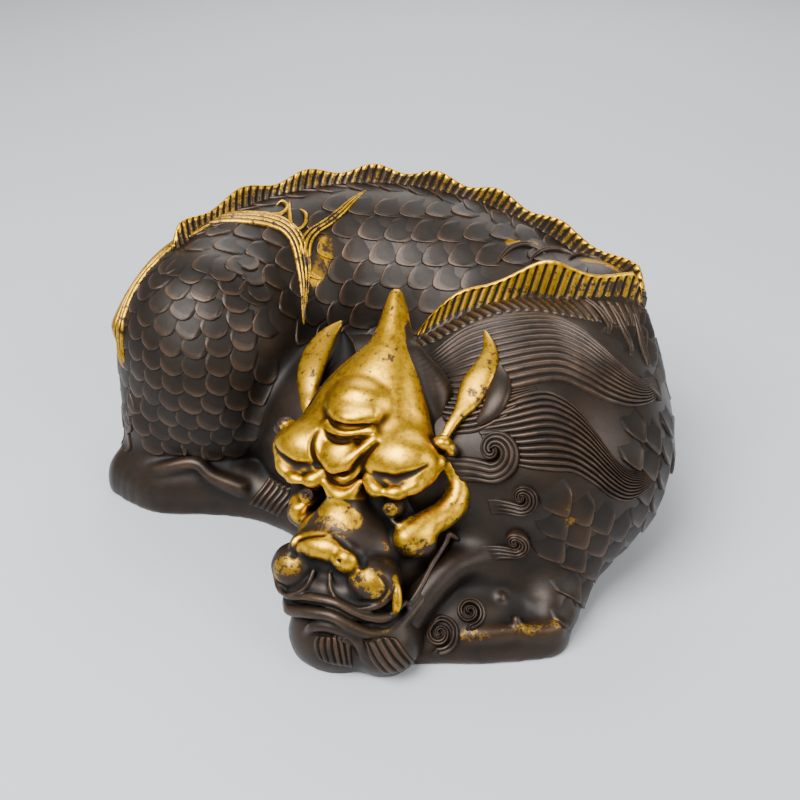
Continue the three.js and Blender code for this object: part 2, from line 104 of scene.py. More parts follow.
def smooth_min(a: np.ndarray, b: np.ndarray, blend: float) -> np.ndarray:
    """The smaller of two distances, rounded off where they are nearly equal.

    Args:
        a: The distances to one solid.
        b: The distances to the other.
        blend: The difference below which they are rounded off, or 0.

    Returns:
        The distances to both solids together.
    """
    if blend <= 0:
        return np.minimum(a, b)
    near = np.maximum(blend - np.abs(a - b), 0) / blend
    return np.minimum(a, b) - near * near * blend / 4


def bump_between(x: np.ndarray, low: float, high: float) -> np.ndarray:
    """A smooth step: 0 below low, 1 above high, three squares less two cubes between."""
    f = np.clip((x - low) / (high - low), 0, 1)
    return f * f * (3 - 2 * f)


def lumps(points: np.ndarray, size: float) -> np.ndarray:
    """Gentle unevenness: the mean of sine waves in directions that are drawn from one seed.

    Args:
        points: Where it is wanted.
        size: About the length of a wave.

    Returns:
        Values between -1 and 1.
    """
    rng = np.random.default_rng(3)
    waves = 6
    total = np.zeros(points.shape[:-1])
    for _ in range(waves):
        way = unit(rng.normal(size=3)) * 2 * math.pi / (size * rng.uniform(0.7, 1.5))
        total += np.sin(points @ way + rng.uniform(0, 6.3))
    return total / waves


def stroke(points: np.ndarray, keys: Line, reach: float) -> np.ndarray:
    """How near points are to a smooth line, with a soft edge about its reach.

    Args:
        points: The points.
        keys: The line's keys.
        reach: How far from the line the middle of the soft edge lies.

    Returns:
        1 on the line and 0 well past its reach.
    """
    spots_per_key, outer, inner = 6, -0.6, 0.55
    near = np.full(points.shape[:-1], FAR)
    for spot in smooth_line(np.array(keys), np.linspace(0, 1, spots_per_key * len(keys))):
        near = np.minimum(near, ((points - spot) ** 2).sum(-1))
    return bump_between(reach - np.sqrt(near), outer * reach, inner * reach)


# Solids that the forms are fused from


@dataclass(frozen=True)
class Ball:
    """An ellipsoid: its place and its three radii."""

    centre: Place
    radii: Place

    def windows(self) -> list[tuple[np.ndarray, np.ndarray]]:
        """A box round the ellipsoid."""
        reach = max(self.radii)
        return [(np.array(self.centre) - reach, np.array(self.centre) + reach)]

    def distance(self, p: np.ndarray, _part: int) -> np.ndarray:
        """Distance to the skin along the ray from the middle: |q| (1 - 1/k), with k = |q / radii|.

        Args:
            p: The points.
            _part: Which stretch is meant. An ellipsoid has one, so it is not used.

        Returns:
            The distances, negative inside.
        """
        q = p - np.array(self.centre, np.float32)
        k = np.maximum(np.linalg.norm(q / np.array(self.radii, np.float32), axis=-1), LEAST_RATIO)
        return np.linalg.norm(q, axis=-1) * (1 - 1 / k)


@dataclass(frozen=True)
class Limb:
    """Ellipses carried along a smooth line. A station is x, y, z, half the width and half the height."""

    stations: Stations
    up: Place = (0.0, 0.0, 1.0)
    steps: int = 5

    def _rings(self) -> np.ndarray:
        """The stations with more of them in between, as rows of five."""
        keys = np.array([s if len(s) == 5 else (*s, s[3]) for s in self.stations], float)
        return smooth_line(keys, np.linspace(0, 1, (len(keys) - 1) * self.steps + 1))

    def windows(self) -> list[tuple[np.ndarray, np.ndarray]]:
        """One box for each stretch between two rings.

        Returns:
            The lowest and the highest corner of each box.
        """
        r = self._rings()
        reach = r[:, 3:].max(1, keepdims=True)
        low, high = r[:, :3] - reach, r[:, :3] + reach
        return list(zip(np.minimum(low[:-1], low[1:]), np.maximum(high[:-1], high[1:])))

    def distance(self, p: np.ndarray, part: int) -> np.ndarray:
        """Distance to one stretch: from the nearest point of its axis, as for an ellipsoid with round ends.

        Args:
            p: The points.
            part: The stretch's number.

        Returns:
            The distances, negative inside.
        """
        r = self._rings()[part : part + 2].astype(np.float32)
        start, step = r[0, :3], r[1, :3] - r[0, :3]
        along = unit(step)
        side = unit(np.cross(along, np.array(self.up, np.float32)))
        top = np.cross(side, along)
        q = p - start
        t = np.clip(q @ step / max(step @ step, SHORTEST), 0, 1)
        q = q - t[..., None] * step
        wide = r[0, 3] + t * (r[1, 3] - r[0, 3])
        high = r[0, 4] + t * (r[1, 4] - r[0, 4])
        across = (q @ side / wide) ** 2 + (q @ top / high) ** 2
        k = np.sqrt(across + (q @ along / np.minimum(wide, high)) ** 2)
        return np.linalg.norm(q, axis=-1) * (1 - 1 / np.maximum(k, LEAST_RATIO))


@dataclass(frozen=True)
class CurledBody:
    """The body curled like a sleeping dog's: an upright ellipse carried round the curl's centre.

    A place along it is an angle seen from above, in degrees: the neck begins at start, the shoulder is near
    0, the middle of the back at 90 and the rump at end. The crest's radii are given from 0 to crest_end.
    """

    centre: tuple[float, float] = (-6.0, 9.0)
    radii: tuple[float, ...] = (46, 54, 60, 56, 59, 65, 64)
    crest_radii: tuple[float, ...] = (87, 71, 64, 67, 71, 78)
    crest_end: float = 165.0
    widths: tuple[float, ...] = (0.66, 0.98, 1.02, 1.0, 0.98, 0.95, 0.86)
    heights: tuple[float, ...] = (0.68, 0.76, 0.86, 0.96, 1.0, 0.98, 0.93)
    half_width: float = 42.0
    back_height: float = 92.0
    below_ground: float = 6.0
    start: float = -75.0
    end: float = 170.0
    room: float = 3.0

    def section(self, angle: np.ndarray) -> tuple[np.ndarray, np.ndarray, np.ndarray, np.ndarray]:
        """The ellipse at an angle.

        Args:
            angle: The places along the body.

        Returns:
            The radius of its middle, the height of its middle, half its width and half its height.
        """
        keys = np.array([self.radii, self.widths, self.heights]).T
        r, w, h = np.moveaxis(smooth_line(keys, (angle - self.start) / (self.end - self.start)), -1, 0)
        half = (self.back_height * h + self.below_ground) / 2
        return r, half - self.below_ground, self.half_width * w, half

    def skin(self, angle: np.ndarray, turn: np.ndarray) -> np.ndarray:
        """Points of the body's skin.

        Args:
            angle: The places along the body.
            turn: The turn about the body in degrees, 0 on its outer side and 90 on top.

        Returns:
            The points.
        """
        r, z, wide, high = self.section(angle)
        a, t = np.radians(angle), np.radians(turn)
        reach = r + wide * np.cos(t)
        x, y = self.centre
        return np.stack([x + reach * np.cos(a), y + reach * np.sin(a), z + high * np.sin(t)], -1)

    def windows(self) -> list[tuple[np.ndarray, np.ndarray]]:
        """A box round the whole curl.

        Returns:
            Its lowest and its highest corner.
        """
        reach = max(self.radii) + self.half_width * 1.1
        x, y = self.centre
        low = np.array([x - reach, y - reach, -self.below_ground - self.room])
        return [(low, np.array([x + reach, y + reach, self.back_height + self.room]))]

    def distance(self, p: np.ndarray, _part: int) -> np.ndarray:
        """Distance to the ellipse at the point's own angle, which past either end is the ellipse there.

        Args:
            p: The points, on a grid whose third axis is upright.
            _part: Which stretch is meant. The curl has one, so it is not used.

        Returns:
            The distances, negative inside.
        """
        flat = p[:, :, 0, :2] - np.array(self.centre, np.float32)
        angle = np.degrees(np.arctan2(flat[..., 1], flat[..., 0]))
        middle_of_gap = (self.start + self.end) / 2 - 180
        angle = np.where(angle < middle_of_gap, angle + 360, angle)
        held = np.clip(angle, self.start, self.end)
        half_degrees = np.linspace(self.start, self.end, round(2 * (self.end - self.start)) + 1)
        r, z, wide, high = (np.interp(held, half_degrees, v)[..., None] for v in self.section(half_degrees))
        a = np.radians(held)
        way = np.stack([np.cos(a), np.sin(a)], -1)
        out = (flat * way).sum(-1)[..., None] - r
        past = np.abs(flat[..., 1] * way[..., 0] - flat[..., 0] * way[..., 1])[..., None]
        past = np.where(held[..., None] == angle[..., None], 0, past)
        up = p[..., 2] - z
        k = np.sqrt((out / wide) ** 2 + (up / high) ** 2 + (past / (0.8 * wide)) ** 2)
        size = np.sqrt(out**2 + up**2 + past**2)
        return size * (1 - 1 / np.maximum(k, LEAST_RATIO))


Solid = Ball | Limb | CurledBody


class Form:
    """A solid form as signed distances on a grid of voxels, negative inside."""

    def __init__(self, low: Place, high: Place, voxel: float) -> None:
        """An empty form.

        Args:
            low: The grid's lowest corner.
            high: Its highest corner.
            voxel: The side of a voxel.
        """
        self.low = np.array(low, float)
        self.voxel = voxel
        self.shape = np.ceil((np.array(high) - self.low) / voxel).astype(int) + 1
        self.values = np.full(self.shape, FAR, np.float32)

    def _span(self, low: np.ndarray, high: np.ndarray, pad: float) -> tuple[slice, ...]:
        """The voxels in a box.

        Args:
            low: The box's lowest corner.
            high: Its highest corner.
            pad: How much wider it is made on every side.

        Returns:
            Its slices of the grid.
        """
        a = np.clip(np.floor((low - pad - self.low) / self.voxel).astype(int), 0, self.shape - 1)
        b = np.clip(np.ceil((high + pad - self.low) / self.voxel).astype(int) + 1, a + 1, self.shape)
        return tuple(slice(a[i], b[i]) for i in range(3))

    def _field(self, solid: Solid, pad: float) -> tuple[tuple[slice, ...], np.ndarray]:
        """The voxels round a solid and its distances there, the smallest of those of its stretches.

        Args:
            solid: The solid.
            pad: How far round it distances are wanted.

        Returns:
            The slices of the grid, and the distances in them.
        """
        boxes = solid.windows()
        whole = self._span(np.min([b[0] for b in boxes], 0), np.max([b[1] for b in boxes], 0), pad)
        own = np.full([s.stop - s.start for s in whole], FAR, np.float32)
        for part, (low, high) in enumerate(boxes):
            where = self._span(low, high, pad)
            axes = [
                np.arange(w.start, w.stop, dtype=np.float32) * self.voxel + start
                for w, start in zip(where, self.low)
            ]
            points = np.stack(np.meshgrid(*axes, indexing="ij"), -1).astype(np.float32)
            local = tuple(slice(w.start - s.start, w.stop - s.start) for w, s in zip(where, whole))
            own[local] = np.minimum(own[local], solid.distance(points, part))
        return whole, own

    def add(self, solid: Solid, blend: float = 0.0) -> None:
        """Fuses a solid with the form: the smooth minimum of the two distances.

        Args:
            solid: What is added.
            blend: How wide the fillet between the two is.
        """
        where, own = self._field(solid, blend + BAND_VOXELS * self.voxel)
        self.values[where] = smooth_min(self.values[where], own, blend)

    def cut(self, solid: Solid, blend: float = 0.0) -> None:
        """Takes a solid away: the smooth maximum of the form's distance and of the solid's, turned round.

        Args:
            solid: What is cut out.
            blend: How wide the rounding of the cut's edge is.
        """
        where, own = self._field(solid, blend + BAND_VOXELS * self.voxel)
        self.values[where] = -smooth_min(-self.values[where], own, blend)

    def stand(self, up: np.ndarray, height: float = 0.0) -> None:
        """Cuts the form off flat at the ground.

        Args:
            up: The way straight up from the ground.
            height: How high the middle of the form's frame is above it.
        """
        axes = [self.low[i] + np.arange(self.shape[i]) * self.voxel for i in range(3)]
        x, y, z = np.meshgrid(*[a * u for a, u in zip(axes, up)], indexing="ij", sparse=True)
        self.values = np.maximum(self.values, -(x + y + z + height).astype(np.float32))

    def sample(self, points: np.ndarray) -> np.ndarray:
        """Distances at points, each the weighted mean of the eight voxels around it.

        Args:
            points: The points.

        Returns:
            Their distances to the skin, negative inside.
        """
        at = (points - self.low) / self.voxel
        i = np.clip(at.astype(int), 0, self.shape - 2)
        f = np.clip(at - i, 0, 1)
        total = np.zeros(points.shape[:-1])
        for corner in np.ndindex(2, 2, 2):
            share = np.prod(np.where(corner, f, 1 - f), -1)
            total += share * self.values[tuple(np.moveaxis(i + corner, -1, 0))]
        return total

    def facing(self, points: np.ndarray, reach: float = 0.9) -> np.ndarray:
        """Directions straight away from the form: the slope of the distance over a step of reach."""
        steps = np.eye(3) * reach
        return unit(np.stack([self.sample(points + s) - self.sample(points - s) for s in steps], -1))

    def drape(self, points: np.ndarray, rounds: int = 6) -> np.ndarray:
        """Moves points to the nearest place on the form's skin: each round steps by the distance.

        Args:
            points: The points.
            rounds: How often they step.

        Returns:
            Their places on the skin.
        """
        for _ in range(rounds):
            points = points - self.sample(points)[..., None] * self.facing(points)
        return points

    def raised(self, points: np.ndarray, height: np.ndarray, reach: float, rounds: int = 6) -> np.ndarray:
        """Lays points on the skin and lifts them from it.

        Args:
            points: The points.
            height: How far each is lifted.
            reach: The step over which the skin's slope is taken.
            rounds: How often they step towards the skin.

        Returns:
            Their new places.
        """
        on = self.drape(points, rounds)
        return on + self.facing(on, reach) * height[..., None]

    def met(self, points: np.ndarray, ways: np.ndarray) -> tuple[np.ndarray, np.ndarray]:
        """Sends points out until they meet the skin, each step a little shorter than the way still open.

        Args:
            points: Where they start.
            ways: The way that each goes.

        Returns:
            Where they end, and which of them met the skin.
        """
        share, rounds, near = 0.8, 60, 0.3
        for _ in range(rounds):
            points = points + np.clip(self.sample(points), -4, 6)[..., None] * share * ways
        return points, np.abs(self.sample(points)) < near

    def rounding(self, points: np.ndarray, reach: float) -> np.ndarray:
        """How rounded the form is at points.

        Args:
            points: The points.
            reach: How far around each it is looked at.

        Returns:
            Above 0 on a ridge and below 0 in a valley.
        """
        steps = np.concatenate([np.eye(3), -np.eye(3)]) * reach
        mean = sum(self.sample(points + s) for s in steps) / len(steps)
        return (mean - self.sample(points)) / reach

    def skin(self) -> tuple[np.ndarray, np.ndarray]:
        """The form's skin.

        Returns:
            Its points, and its faces of four corners that point outwards.
        """
        band = BAND_VOXELS * self.voxel
        grid = openvdb.FloatGrid(band)
        grid.copyFromArray(np.clip(self.values, -band, band).astype(np.float32))
        points, quads = grid.convertToQuads(isovalue=0.0)
        return points * self.voxel + self.low, quads


# Meshes


@dataclass
class Sheet:
    """Grids of points, patches x rows x columns, with how gilt each point is, and how rubbed or how dark
    with painted shade.
    """

    points: np.ndarray
    gilt: np.ndarray
    wear_and_shade: np.ndarray

    def faces(self) -> np.ndarray:
        """The faces of all patches, one between each four neighbouring points.

        Returns:
            Rows of four indices.
        """
        shape = self.points.shape[:3]
        index = np.arange(math.prod(shape)).reshape(shape)
        corners = [index[:, :-1, :-1], index[:, :-1, 1:], index[:, 1:, 1:], index[:, 1:, :-1]]
        return np.stack(corners, -1).reshape(-1, 4)


def to_row(points: np.ndarray) -> np.ndarray:
    """Points from the carver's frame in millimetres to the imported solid's frame in metres."""
    return (points - PLAN_CENTRE) * UNIT


def cast_piece(
    name: str,
    points: np.ndarray,
    faces: np.ndarray,
    gilt: np.ndarray,
    wear_and_shade: np.ndarray,
    normals: np.ndarray | None = None,
) -> None:
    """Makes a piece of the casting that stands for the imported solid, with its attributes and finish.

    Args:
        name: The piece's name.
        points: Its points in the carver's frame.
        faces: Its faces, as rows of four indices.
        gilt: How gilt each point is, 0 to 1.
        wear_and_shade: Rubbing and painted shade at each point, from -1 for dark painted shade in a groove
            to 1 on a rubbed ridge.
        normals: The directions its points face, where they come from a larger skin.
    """
    mesh = bpy.data.meshes.new(name)
    above_ground = np.concatenate([points[:, :2], np.maximum(points[:, 2:], 0)], -1)
    mesh.from_pydata(to_row(above_ground), [], faces)
    for key, values in (("gilt", gilt), ("wear_and_shade", wear_and_shade)):
        layer = mesh.attributes.new(key, "FLOAT", "POINT")
        layer.data.foreach_set("value", np.asarray(values, np.float32).ravel())
    mesh.shade_smooth()
    if normals is not None:
        mesh.normals_split_custom_set_from_vertices(normals)
    piece = bpy.data.objects.new(name, mesh)
    bpy.context.scene.collection.objects.link(piece)
    mesh.materials.append(BRONZE.material())
    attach(piece, "root")
    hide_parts(NODE)
    LOG.info("%s: %d points, %d faces", name, len(mesh.vertices), len(mesh.polygons))


def sheet_piece(name: str, sheets: list[Sheet]) -> None:
    """Makes one piece of several sheets.

    Args:
        name: The piece's name.
        sheets: What it is made of.
    """
    counts = np.cumsum([0, *(sheet.wear_and_shade.size for sheet in sheets)])
    points = np.concatenate([sheet.points.reshape(-1, 3) for sheet in sheets])
    faces = np.concatenate([sheet.faces() + count for sheet, count in zip(sheets, counts)])
    gilt, wear_and_shade = (np.concatenate([getattr(s, key).ravel() for s in sheets]) for key in ("gilt", "wear_and_shade"))
    cast_piece(name, points, faces, gilt, wear_and_shade)


# Finishes


def linear(colour: str) -> tuple[float, float, float, float]:
    """An sRGB hex colour as linear red, green, blue and alpha, by the two branches of the sRGB curve."""
    parts = [int(colour[i : i + 2], 16) / 255 for i in (1, 3, 5)]
    return (*[c / 12.92 if c <= 0.04045 else ((c + 0.055) / 1.055) ** 2.4 for c in parts], 1.0)


def add_node(tree: bpy.types.NodeTree, kind: str, settings: dict, links: dict) -> bpy.types.Node:
    """Adds a node to a tree.

    Args:
        tree: The material's node tree.
        kind: The node's type.
        settings: Values by name: of its inputs where it has one of that name or number, else of its own.
        links: Output sockets by the name or number of the input that each feeds.

    Returns:
        The node.
    """
    node = tree.nodes.new(kind)
    own = {k: v for k, v in settings.items() if isinstance(k, str) and k not in node.inputs}
    for key, value in own.items():
        setattr(node, key, value)
    for key, value in settings.items():
        if key not in own:
            node.inputs[key].default_value = value
    for key, socket in links.items():
        tree.links.new(socket, node.inputs[key])
    return node


class Kind(Enum):
    """The kinds of node in the bronze: a node's type, what all of the kind are set to and their output."""

    PLACE = ("ShaderNodeTexCoord", {}, "Object")
    ATTRIBUTE = ("ShaderNodeAttribute", {}, "Fac")
    CLOUDS = ("ShaderNodeTexNoise", {}, "Fac")
    RANGE = ("ShaderNodeMapRange", {}, 0)
    PRODUCT = ("ShaderNodeMath", {"operation": "MULTIPLY", "use_clamp": True}, 0)
    PRODUCT_AND_SUM = ("ShaderNodeMath", {"operation": "MULTIPLY_ADD", "use_clamp": True}, 0)
    COLOURS = ("ShaderNodeMix", {"data_type": "RGBA"}, 2)
    NUMBERS = ("ShaderNodeMix", {"data_type": "FLOAT"}, 0)
    BUMP = ("ShaderNodeBump", {}, 0)
    METAL = ("ShaderNodeBsdfPrincipled", {}, 0)


@dataclass(frozen=True)
class Clouds:
    """Cloudy noise: its largest patches in millimetres, its layers and how strong the fine ones are."""

    size: float
    detail: float
    roughness: float = 0.6

    def settings(self) -> dict[str, float]:
        """What a noise node is set to."""
        return {"Scale": 1 / (self.size * MM), "Detail": self.detail, "Roughness": self.roughness}


@dataclass(frozen=True)
class PatinatedBronze:
    """Cast tin bronze under a dark brown liver-of-sulphur patina, with fire gilding worn through in places.

    The patina is a thin film, so the metal still shines through it in broad dull highlights. It is rubbed
    to copper brown on the ridges. Grooves and creases are painted near black, as patina kept there and as
    painted shade, and there the gilding is painted dark as painted shade, brown in shallow dips. The
    gilding is bright, clouded and pitted with dark flecks. Patches are as wide as a thumb rubs and flecks
    as wide as a worn spot. Pits and grain are a few times coarser than in cast metal, so that they still
    show.
    """

    patina: str = "#1f1711"
    pale_patina: str = "#33261b"
    # Near black painted into grooves and creases: partly patina kept there, partly painted shade.
    groove: str = "#0a0806"
    rubbed: str = "#624a38"
    gold: str = "#eab414"
    # Brown gold: for dull flecks, and as painted shade in shallow dips of the gilding.
    old_gold_and_shade: str = "#835c18"
    under_gold: str = "#3b2914"
    # Dark gold painted in grooves as painted shade.
    shaded_gold: str = "#33220f"
    patina_roughness: float = 0.31
    fleck_roughness: float = 0.18
    gold_roughness: float = 0.36
    groove_roughness: float = 0.7
    patina_metallic: float = 0.5
    relief: float = 0.18
    patches: Clouds = Clouds(9.0, 4.0)
    flecks: Clouds = Clouds(2.2, 5.0, 0.7)
    pits: Clouds = Clouds(1.3, 5.0, 0.75)
    grain: Clouds = Clouds(0.7, 3.0)

    def material(self) -> bpy.types.Material:
        """The material, made once."""
        name = "patinated_and_gilt_bronze"
        return bpy.data.materials.get(name) or self._made(name)

    def _made(self, name: str) -> bpy.types.Material:
        """Makes the material's node tree, step by step.

        Args:
            name: The material's name.

        Returns:
            The material.
        """
        made = bpy.data.materials.new(name)
        made.use_nodes = True
        tree = made.node_tree
        tree.nodes.clear()
        sockets: dict[str, bpy.types.NodeSocket] = {}
        for steps in (self._surface_steps(), self._dark_steps(), self._gold_steps(), self._final_steps()):
            for step, (kind, settings, links) in steps.items():
                node_type, common, output = kind.value
                inputs = {key: sockets[source] for key, source in links.items()}
                sockets[step] = add_node(tree, node_type, common | settings, inputs).outputs[output]
        add_node(tree, "ShaderNodeOutputMaterial", {}, {"Surface": sockets["metal"]})
        return made

    def _surface_steps(self) -> dict[str, tuple[Kind, dict, dict]]:
        """What the colours are chosen by: noise, ridges, grooves and how much of the gilding is left.

        A gilt place holds its gold unless patches and flecks rub it away. Where it is only partly gilt,
        the dense flecks stay bare. Less gold is kept at the bottom of a groove, so that painted shade shows
        there.

        Returns:
            By the name of each step: its kind, its settings and the steps that feed it.
        """
        return {
            "place": (Kind.PLACE, {}, {}),
            "gilt": (Kind.ATTRIBUTE, {"attribute_name": "gilt"}, {}),
            "wear_and_shade": (Kind.ATTRIBUTE, {"attribute_name": "wear_and_shade"}, {}),
            "patches": (Kind.CLOUDS, self.patches.settings(), {"Vector": "place"}),
            "flecks": (Kind.CLOUDS, self.flecks.settings(), {"Vector": "place"}),
            "pits": (Kind.CLOUDS, self.pits.settings(), {"Vector": "place"}),
            "grain": (Kind.CLOUDS, self.grain.settings(), {"Vector": "place"}),
            "flecked_wear": (Kind.PRODUCT_AND_SUM, {1: 0.35}, {0: "flecks", 2: "wear_and_shade"}),
            "ridge": (Kind.RANGE, {1: 0.35, 2: 1.0}, {0: "flecked_wear"}),
            # How far into a groove or crease a place is: where painted shade is laid, over the patina kept
            # there.
            "groove": (Kind.RANGE, {1: -0.05, 2: -0.8}, {0: "wear_and_shade"}),
            "flecks_share": (Kind.PRODUCT, {1: 0.7}, {0: "flecks"}),
            "both": (Kind.PRODUCT_AND_SUM, {1: 0.5}, {0: "patches", 2: "flecks_share"}),
            "worn": (Kind.RANGE, {1: 0.62, 2: 0.78}, {0: "both"}),
            "bare": (Kind.PRODUCT_AND_SUM, {1: -1.0, 2: 1.0}, {0: "gilt"}),
            "dense": (Kind.RANGE, {1: 0.56, 2: 0.42}, {0: "flecks"}),
            "spots": (Kind.PRODUCT, {}, {0: "bare", 1: "dense"}),
            "less_worn": (Kind.PRODUCT_AND_SUM, {1: -0.75}, {0: "worn", 2: "gilt"}),
            "less_spots": (Kind.PRODUCT_AND_SUM, {1: -0.4}, {0: "spots", 2: "less_worn"}),
            # Painted shade: less gold is kept in grooves, so that their dark shows.
            "less_groove": (Kind.PRODUCT_AND_SUM, {1: -0.3}, {0: "groove", 2: "less_spots"}),
            "cover": (Kind.RANGE, {1: 0.24, 2: 0.52}, {0: "less_groove"}),
        }

    def _dark_steps(self) -> dict[str, tuple[Kind, dict, dict]]:
        """The colour without gilding: clouded patina, rubbed on ridges, painted near black in grooves as
        patina and painted shade, and darker where gilding once lay.

        Returns:
            By the name of each step: its kind, its settings and the steps that feed it.
        """
        patina, pale = linear(self.patina), linear(self.pale_patina)
        rubbed, groove, under_gold = linear(self.rubbed), linear(self.groove), linear(self.under_gold)
        return {
            "pale": (Kind.RANGE, {1: 0.3, 2: 0.75}, {0: "patches"}),
            "patina": (Kind.COLOURS, {6: patina, 7: pale}, {0: "pale"}),
            "handled": (Kind.RANGE, {1: 0.32, 2: 0.78}, {0: "patches"}),
            "rubbed": (Kind.PRODUCT, {}, {0: "ridge", 1: "handled"}),
            "with_ridges": (Kind.COLOURS, {7: rubbed}, {0: "rubbed", 6: "patina"}),
            # Painted shade: near black in grooves and creases, over the patina kept there.
            "with_grooves": (Kind.COLOURS, {7: groove}, {0: "groove", 6: "with_ridges"}),
            "once_gilt": (Kind.RANGE, {1: 0.05, 2: 0.6}, {0: "gilt"}),
            "under": (Kind.COLOURS, {7: under_gold}, {0: "once_gilt", 6: "with_grooves"}),
            # Painted shade in the grooves once more, over the dark where gilding once lay.
            "dark": (Kind.COLOURS, {7: groove}, {0: "groove", 6: "under"}),
        }

    def _gold_steps(self) -> dict[str, tuple[Kind, dict, dict]]:
        """The gilding's colour: flecked and clouded, pitted, with painted shade brown in dips and dark in
        grooves.

        Returns:
            By the name of each step: its kind, its settings and the steps that feed it.
        """
        gold, old_and_shade, under, deep = map(linear, (self.gold, self.old_gold_and_shade, self.under_gold, self.shaded_gold))
        return {
            "dull": (Kind.RANGE, {1: 0.4, 2: 0.7}, {0: "flecks"}),
            "flecked": (Kind.COLOURS, {6: gold, 7: old_and_shade}, {0: "dull"}),
            "bright": (Kind.RANGE, {1: 0.45, 2: 0.75}, {0: "patches"}),
            "clouded": (Kind.COLOURS, {7: gold}, {0: "bright", 6: "flecked"}),
            "pit": (Kind.RANGE, {1: 0.6, 2: 0.72}, {0: "pits"}),
            "pitted": (Kind.COLOURS, {7: under}, {0: "pit", 6: "clouded"}),
            # Painted shade: brown gold in shallow dips, where shade falls on the gilding.
            "dip_shade": (Kind.RANGE, {1: 0.0, 2: -0.4}, {0: "wear_and_shade"}),
            "dip_shaded": (Kind.COLOURS, {7: old_and_shade}, {0: "dip_shade", 6: "pitted"}),
            # Painted shade: dark gold in grooves.
            "deep": (Kind.RANGE, {1: 0.1, 2: 0.75}, {0: "groove"}),
            "gold": (Kind.COLOURS, {7: deep}, {0: "deep", 6: "dip_shaded"}),
        }

    def _final_steps(self) -> dict[str, tuple[Kind, dict, dict]]:
        """Colour, metal, roughness and relief of the whole.

        Returns:
            By the name of each step: its kind, its settings and the steps that feed it.
        """
        patina_roughness = {1: self.fleck_roughness, 2: self.patina_roughness}
        inputs = {"Base Color": "colour", "Metallic": "metallic", "Roughness": "rough", "Normal": "bump"}
        return {
            "colour": (Kind.COLOURS, {}, {0: "cover", 6: "dark", 7: "gold"}),
            "metallic": (Kind.NUMBERS, {2: self.patina_metallic, 3: 1.0}, {0: "cover"}),
            "patina_rough": (Kind.PRODUCT_AND_SUM, patina_roughness, {0: "flecks"}),
            "open_rough": (Kind.NUMBERS, {3: self.gold_roughness}, {0: "cover", 2: "patina_rough"}),
            "rough": (Kind.NUMBERS, {3: self.groove_roughness}, {0: "groove", 2: "open_rough"}),
            "coarse": (Kind.PRODUCT, {1: 0.6}, {0: "flecks"}),
            "relief": (Kind.PRODUCT_AND_SUM, {1: 0.4}, {0: "grain", 2: "coarse"}),
            "bump": (Kind.BUMP, {"Strength": 0.35, "Distance": self.relief * MM}, {"Height": "relief"}),
            "metal": (Kind.METAL, {}, inputs),
        }


@dataclass(frozen=True)
class MattPaper:
    """The uncoated paper that the figure lies on: a cool pale grey with soft shadows and no shine."""

    colour: str = "#c3c8ce"
    roughness: float = 0.8

    def material(self) -> bpy.types.Material:
        """The material.

        Returns:
            A new material each time.
        """
        made = bpy.data.materials.new("matt_paper")
        made.use_nodes = True
        shader = made.node_tree.nodes["Principled BSDF"]
        shader.inputs["Base Color"].default_value = linear(self.colour)
        shader.inputs["Roughness"].default_value = self.roughness
        return made


BRONZE = PatinatedBronze()


# The carving that lies on a form


SUNK = -0.6  # how far a band's edge lies below the skin, and how dark its painted shade is
STRAND_POWER = 3  # how squarely a strand's section is rounded
AT_EDGE = 0.999  # how far across a band counts as its edge


class Carving(Enum):
    """How a ribbon is cut."""

    COMBED = "ridges that run along it"
    HATCHED = "grooves that run across it"


def strand(f: np.ndarray) -> np.ndarray:
    """A strand's rounded section, 0 at its sides and 1 in its middle, at the place f within it."""
    return 1 - np.abs(2 * f - 1) ** STRAND_POWER


def strand_wear_and_shade(ridge: np.ndarray) -> np.ndarray:
    """How worn a strand is at a height: painted shade dark between strands, and rubbed on top."""
    return np.clip(1.5 * ridge - 0.9, -1, 0.75)


def band(stations: Stations, facing: Place) -> tuple[Line, Line]:
    """The two edges of a band given by its middle line and width.

    Args:
        stations: Rows of x, y, z and width.
        facing: The way the band faces.

    Returns:
        The edges, half the width to either side.
    """
    s = np.array(stations, float)
    along = np.gradient(s[:, :3], axis=0)
    side = unit(np.cross(along, np.array(facing))) * s[:, 3:4] / 2
    return tuple(map(tuple, s[:, :3] - side)), tuple(map(tuple, s[:, :3] + side))


